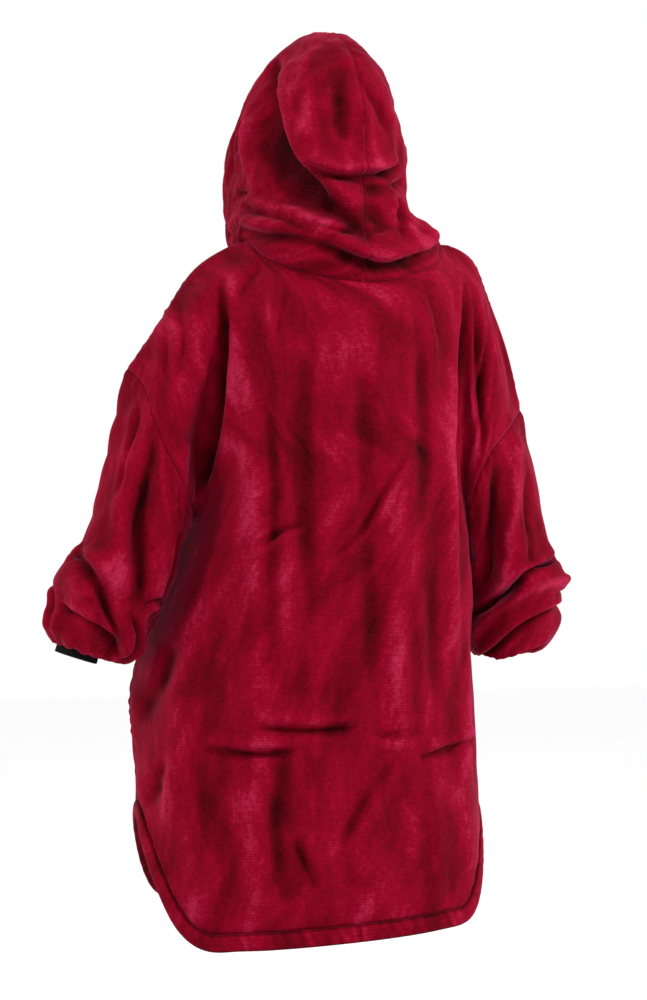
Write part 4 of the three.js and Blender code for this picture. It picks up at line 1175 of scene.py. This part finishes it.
def fleece_material():
    """Crimson plush: a brushed pile in random mottled patches, with painted shade in hollows and on the inner
    face, and painted highlight on ridges.
    """
    finish = Finish("crimson_plush_fleece", Roughness=0.8, Specular_IOR_Level=0.03, Sheen_Weight=0.34,
                    Sheen_Roughness=0.35, Sheen_Tint=(1.0, 0.09, 0.24, 1))
    place = finish.add("ShaderNodeTexCoord").outputs["Object"]
    cloth = finish.add("ShaderNodeUVMap", uv_map="cloth").outputs["UV"]
    # The relief attribute carries painted shade from hollows and the inner face, and painted highlight from
    # ridges.
    relief = finish.add("ShaderNodeAttribute", attribute_name="relief").outputs["Fac"]
    stretch = finish.add("ShaderNodeMapping", Scale=(1.0, 0.42, 1.0))
    finish.links.new(cloth, stretch.inputs["Vector"])
    brushed = stretch.outputs["Vector"]
    patches = finish.noise(brushed, Scale=19.0, Detail=3.0, Roughness=0.45, Distortion=0.25)
    strokes = finish.noise(brushed, Scale=60.0, Detail=3.0, Roughness=0.55, Distortion=0.2)
    mottle = finish.noise(place, Scale=180.0, Detail=4.0, Roughness=0.65)
    rows = finish.bands(cloth, Scale=92.0, Distortion=3.5, Detail=2.0, **{"Detail Scale": 2.0})
    tufts = finish.noise(place, Scale=420.0, Detail=3.0, Roughness=0.6)
    pile = finish.noise(place, Scale=1500.0, Detail=2.0, Roughness=0.6)
    # Tone: random patches, strokes, mottle and weave rows, plus painted shade and highlight from the relief
    # attribute; the near-black lowest stop is reached in the painted shade of deep hollows, the pink top stop
    # on painted ridge highlights and the lightest patches.
    tone = finish.total([(patches, 0.52), (strokes, 0.22), (mottle, 0.28), (rows, 0.05), (relief, 0.033)])
    finish.tone(tone, (0.22, 0.016, 0.0, 0.0006), (0.46, 0.106, 0.0, 0.0046), (0.62, 0.195, 0.0003, 0.0120),
                (0.86, 0.40, 0.021, 0.070))
    finish.relief((patches, 0.35, 0.004), (strokes, 0.25, 0.0020), (rows, 0.25, 0.0006),
                  (tufts, 0.5, 0.0009), (pile, 0.5, 0.0005))
    return finish.material


def rib_material():
    """Black elastic knit: fine courses across the ribs."""
    finish = Finish("black_rib_knit", Roughness=0.85, Specular_IOR_Level=0.1)
    cloth = finish.add("ShaderNodeUVMap", uv_map="cloth").outputs["UV"]
    courses = finish.bands(cloth, Scale=320.0, Distortion=1.5, Detail=1.0)
    finish.tone(courses, (0, 0.0022, 0.0020, 0.0024), (1, 0.0100, 0.0090, 0.0105))
    finish.relief((courses, 0.6, 0.0006))
    return finish.material


def thread_material():
    """Dull crimson sewing thread, a little paler where it is twisted."""
    finish = Finish("crimson_thread", Roughness=0.6)
    place = finish.add("ShaderNodeTexCoord").outputs["Object"]
    twist = finish.noise(place, Scale=900.0, Detail=2.0)
    finish.tone(twist, (0, 0.10, 0.0020, 0.0100), (1, 0.30, 0.0120, 0.0450))
    finish.relief((twist, 0.4, 0.0003))
    return finish.material


def floor_material():
    """A pale studio floor with a faint unevenness."""
    finish = Finish("pale_floor")
    speckle = finish.add("ShaderNodeTexNoise", Scale=3.0, Detail=2.0).outputs["Fac"]
    finish.tone(speckle, (0, 0.95, 0.95, 0.95), (1, 0.98, 0.98, 0.98))
    return finish.material


# The garment

def dress(piece, material):
    piece.data.materials.append(material)
    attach(piece, "root")


def build_garment():
    cloth = all_cloth()
    pieces = {
        "back": panel("back", cloth["back"], BACK_CREASES, 11),
        "front": panel("front", cloth["front"], FRONT_CREASES, 21),
        "sleeve_left": sleeve("sleeve_left", cloth["sleeve_left"], SLEEVE_CREASES["left"], 31),
        "sleeve_right": sleeve("sleeve_right", cloth["sleeve_right"], SLEEVE_CREASES["right"], 41),
        "hood_left": hood_half("hood_left", cloth["hood_left"], 51),
        "hood_right": hood_half("hood_right", cloth["hood_right"], 61),
        "hem_band_back": hem_band("hem_band_back", cloth["back"], 71),
        "hem_band_front": hem_band("hem_band_front", cloth["front"], 81),
    }
    fleece, rib, thread = fleece_material(), rib_material(), thread_material()
    for piece in pieces.values():
        dress(piece, fleece)
    for name, side in SIDES.items():
        pieces[f"cuff_{name}"] = cuff(f"cuff_{name}", side)
        dress(pieces[f"cuff_{name}"], rib)
        dress(stitch_row(f"stitches_face_hem_{name}", cloth[f"hood_{name}"]), thread)
    return pieces


# Stage

VIEW = {"turn": 13, "distance": 3.0, "lens": 77.15, "aside": 0.0203, "height": -0.35}
FLOOR = {"half": 9, "height": -1.45}
# How far each light stands from the middle of the garment towards the camera, aside and up, and its power
LIGHTS = {"key": (1.2, -2.0, 1.4, 65), "second": (1.1, 2.1, 1.1, 30)}
LIGHT_SIZE = 0.7
LIT_PLACE = np.array([0, 0, -0.3])


def build_camera():
    turn = math.radians(VIEW["turn"])
    towards = np.array([math.sin(turn), math.cos(turn), 0])
    aside = np.array([math.cos(turn), -math.sin(turn), 0])
    place = towards * VIEW["distance"] + aside * VIEW["aside"] + np.array([0, 0, VIEW["height"]])
    camera_data = bpy.data.cameras.new("camera")
    camera_data.lens = VIEW["lens"]
    camera_data.sensor_fit = "AUTO"
    camera_data.sensor_width = 36
    camera = bpy.data.objects.new("camera", camera_data)
    camera.location = place
    camera.rotation_euler = (math.pi / 2, 0, math.pi - turn)
    bpy.context.scene.collection.objects.link(camera)
    bpy.context.scene.camera = camera
    return towards, aside


def area_light(name, place, power):
    light = bpy.data.lights.new(name, "AREA")
    light.shape, light.size, light.energy = "DISK", LIGHT_SIZE, power
    obj = bpy.data.objects.new(name, light)
    obj.location = place
    way = unit(LIT_PLACE - place)
    obj.rotation_euler = (math.acos(-way[2]), 0, math.atan2(way[0], -way[1]) + math.pi)
    bpy.context.scene.collection.objects.link(obj)


def build_stage(towards, aside):
    half, height = FLOOR["half"], FLOOR["height"]
    corners = [(x * half, y * half, height) for x, y in ((-1, -1), (1, -1), (1, 1), (-1, 1))]
    floor = mesh_object("floor", corners, [(0, 1, 2, 3)])
    floor.data.materials.append(floor_material())
    world = bpy.data.worlds.new("studio")
    world.use_nodes = True
    background = world.node_tree.nodes["Background"]
    background.inputs["Color"].default_value = (1, 1, 1, 1)
    background.inputs["Strength"].default_value = 1.0
    bpy.context.scene.world = world
    bpy.context.scene.view_settings.view_transform = "Standard"
    for name, (forward, sideways, up, power) in LIGHTS.items():
        area_light(name, LIT_PLACE + towards * forward + aside * sideways + (0, 0, up), power)


pieces = build_garment()
towards, aside = build_camera()
build_stage(towards, aside)
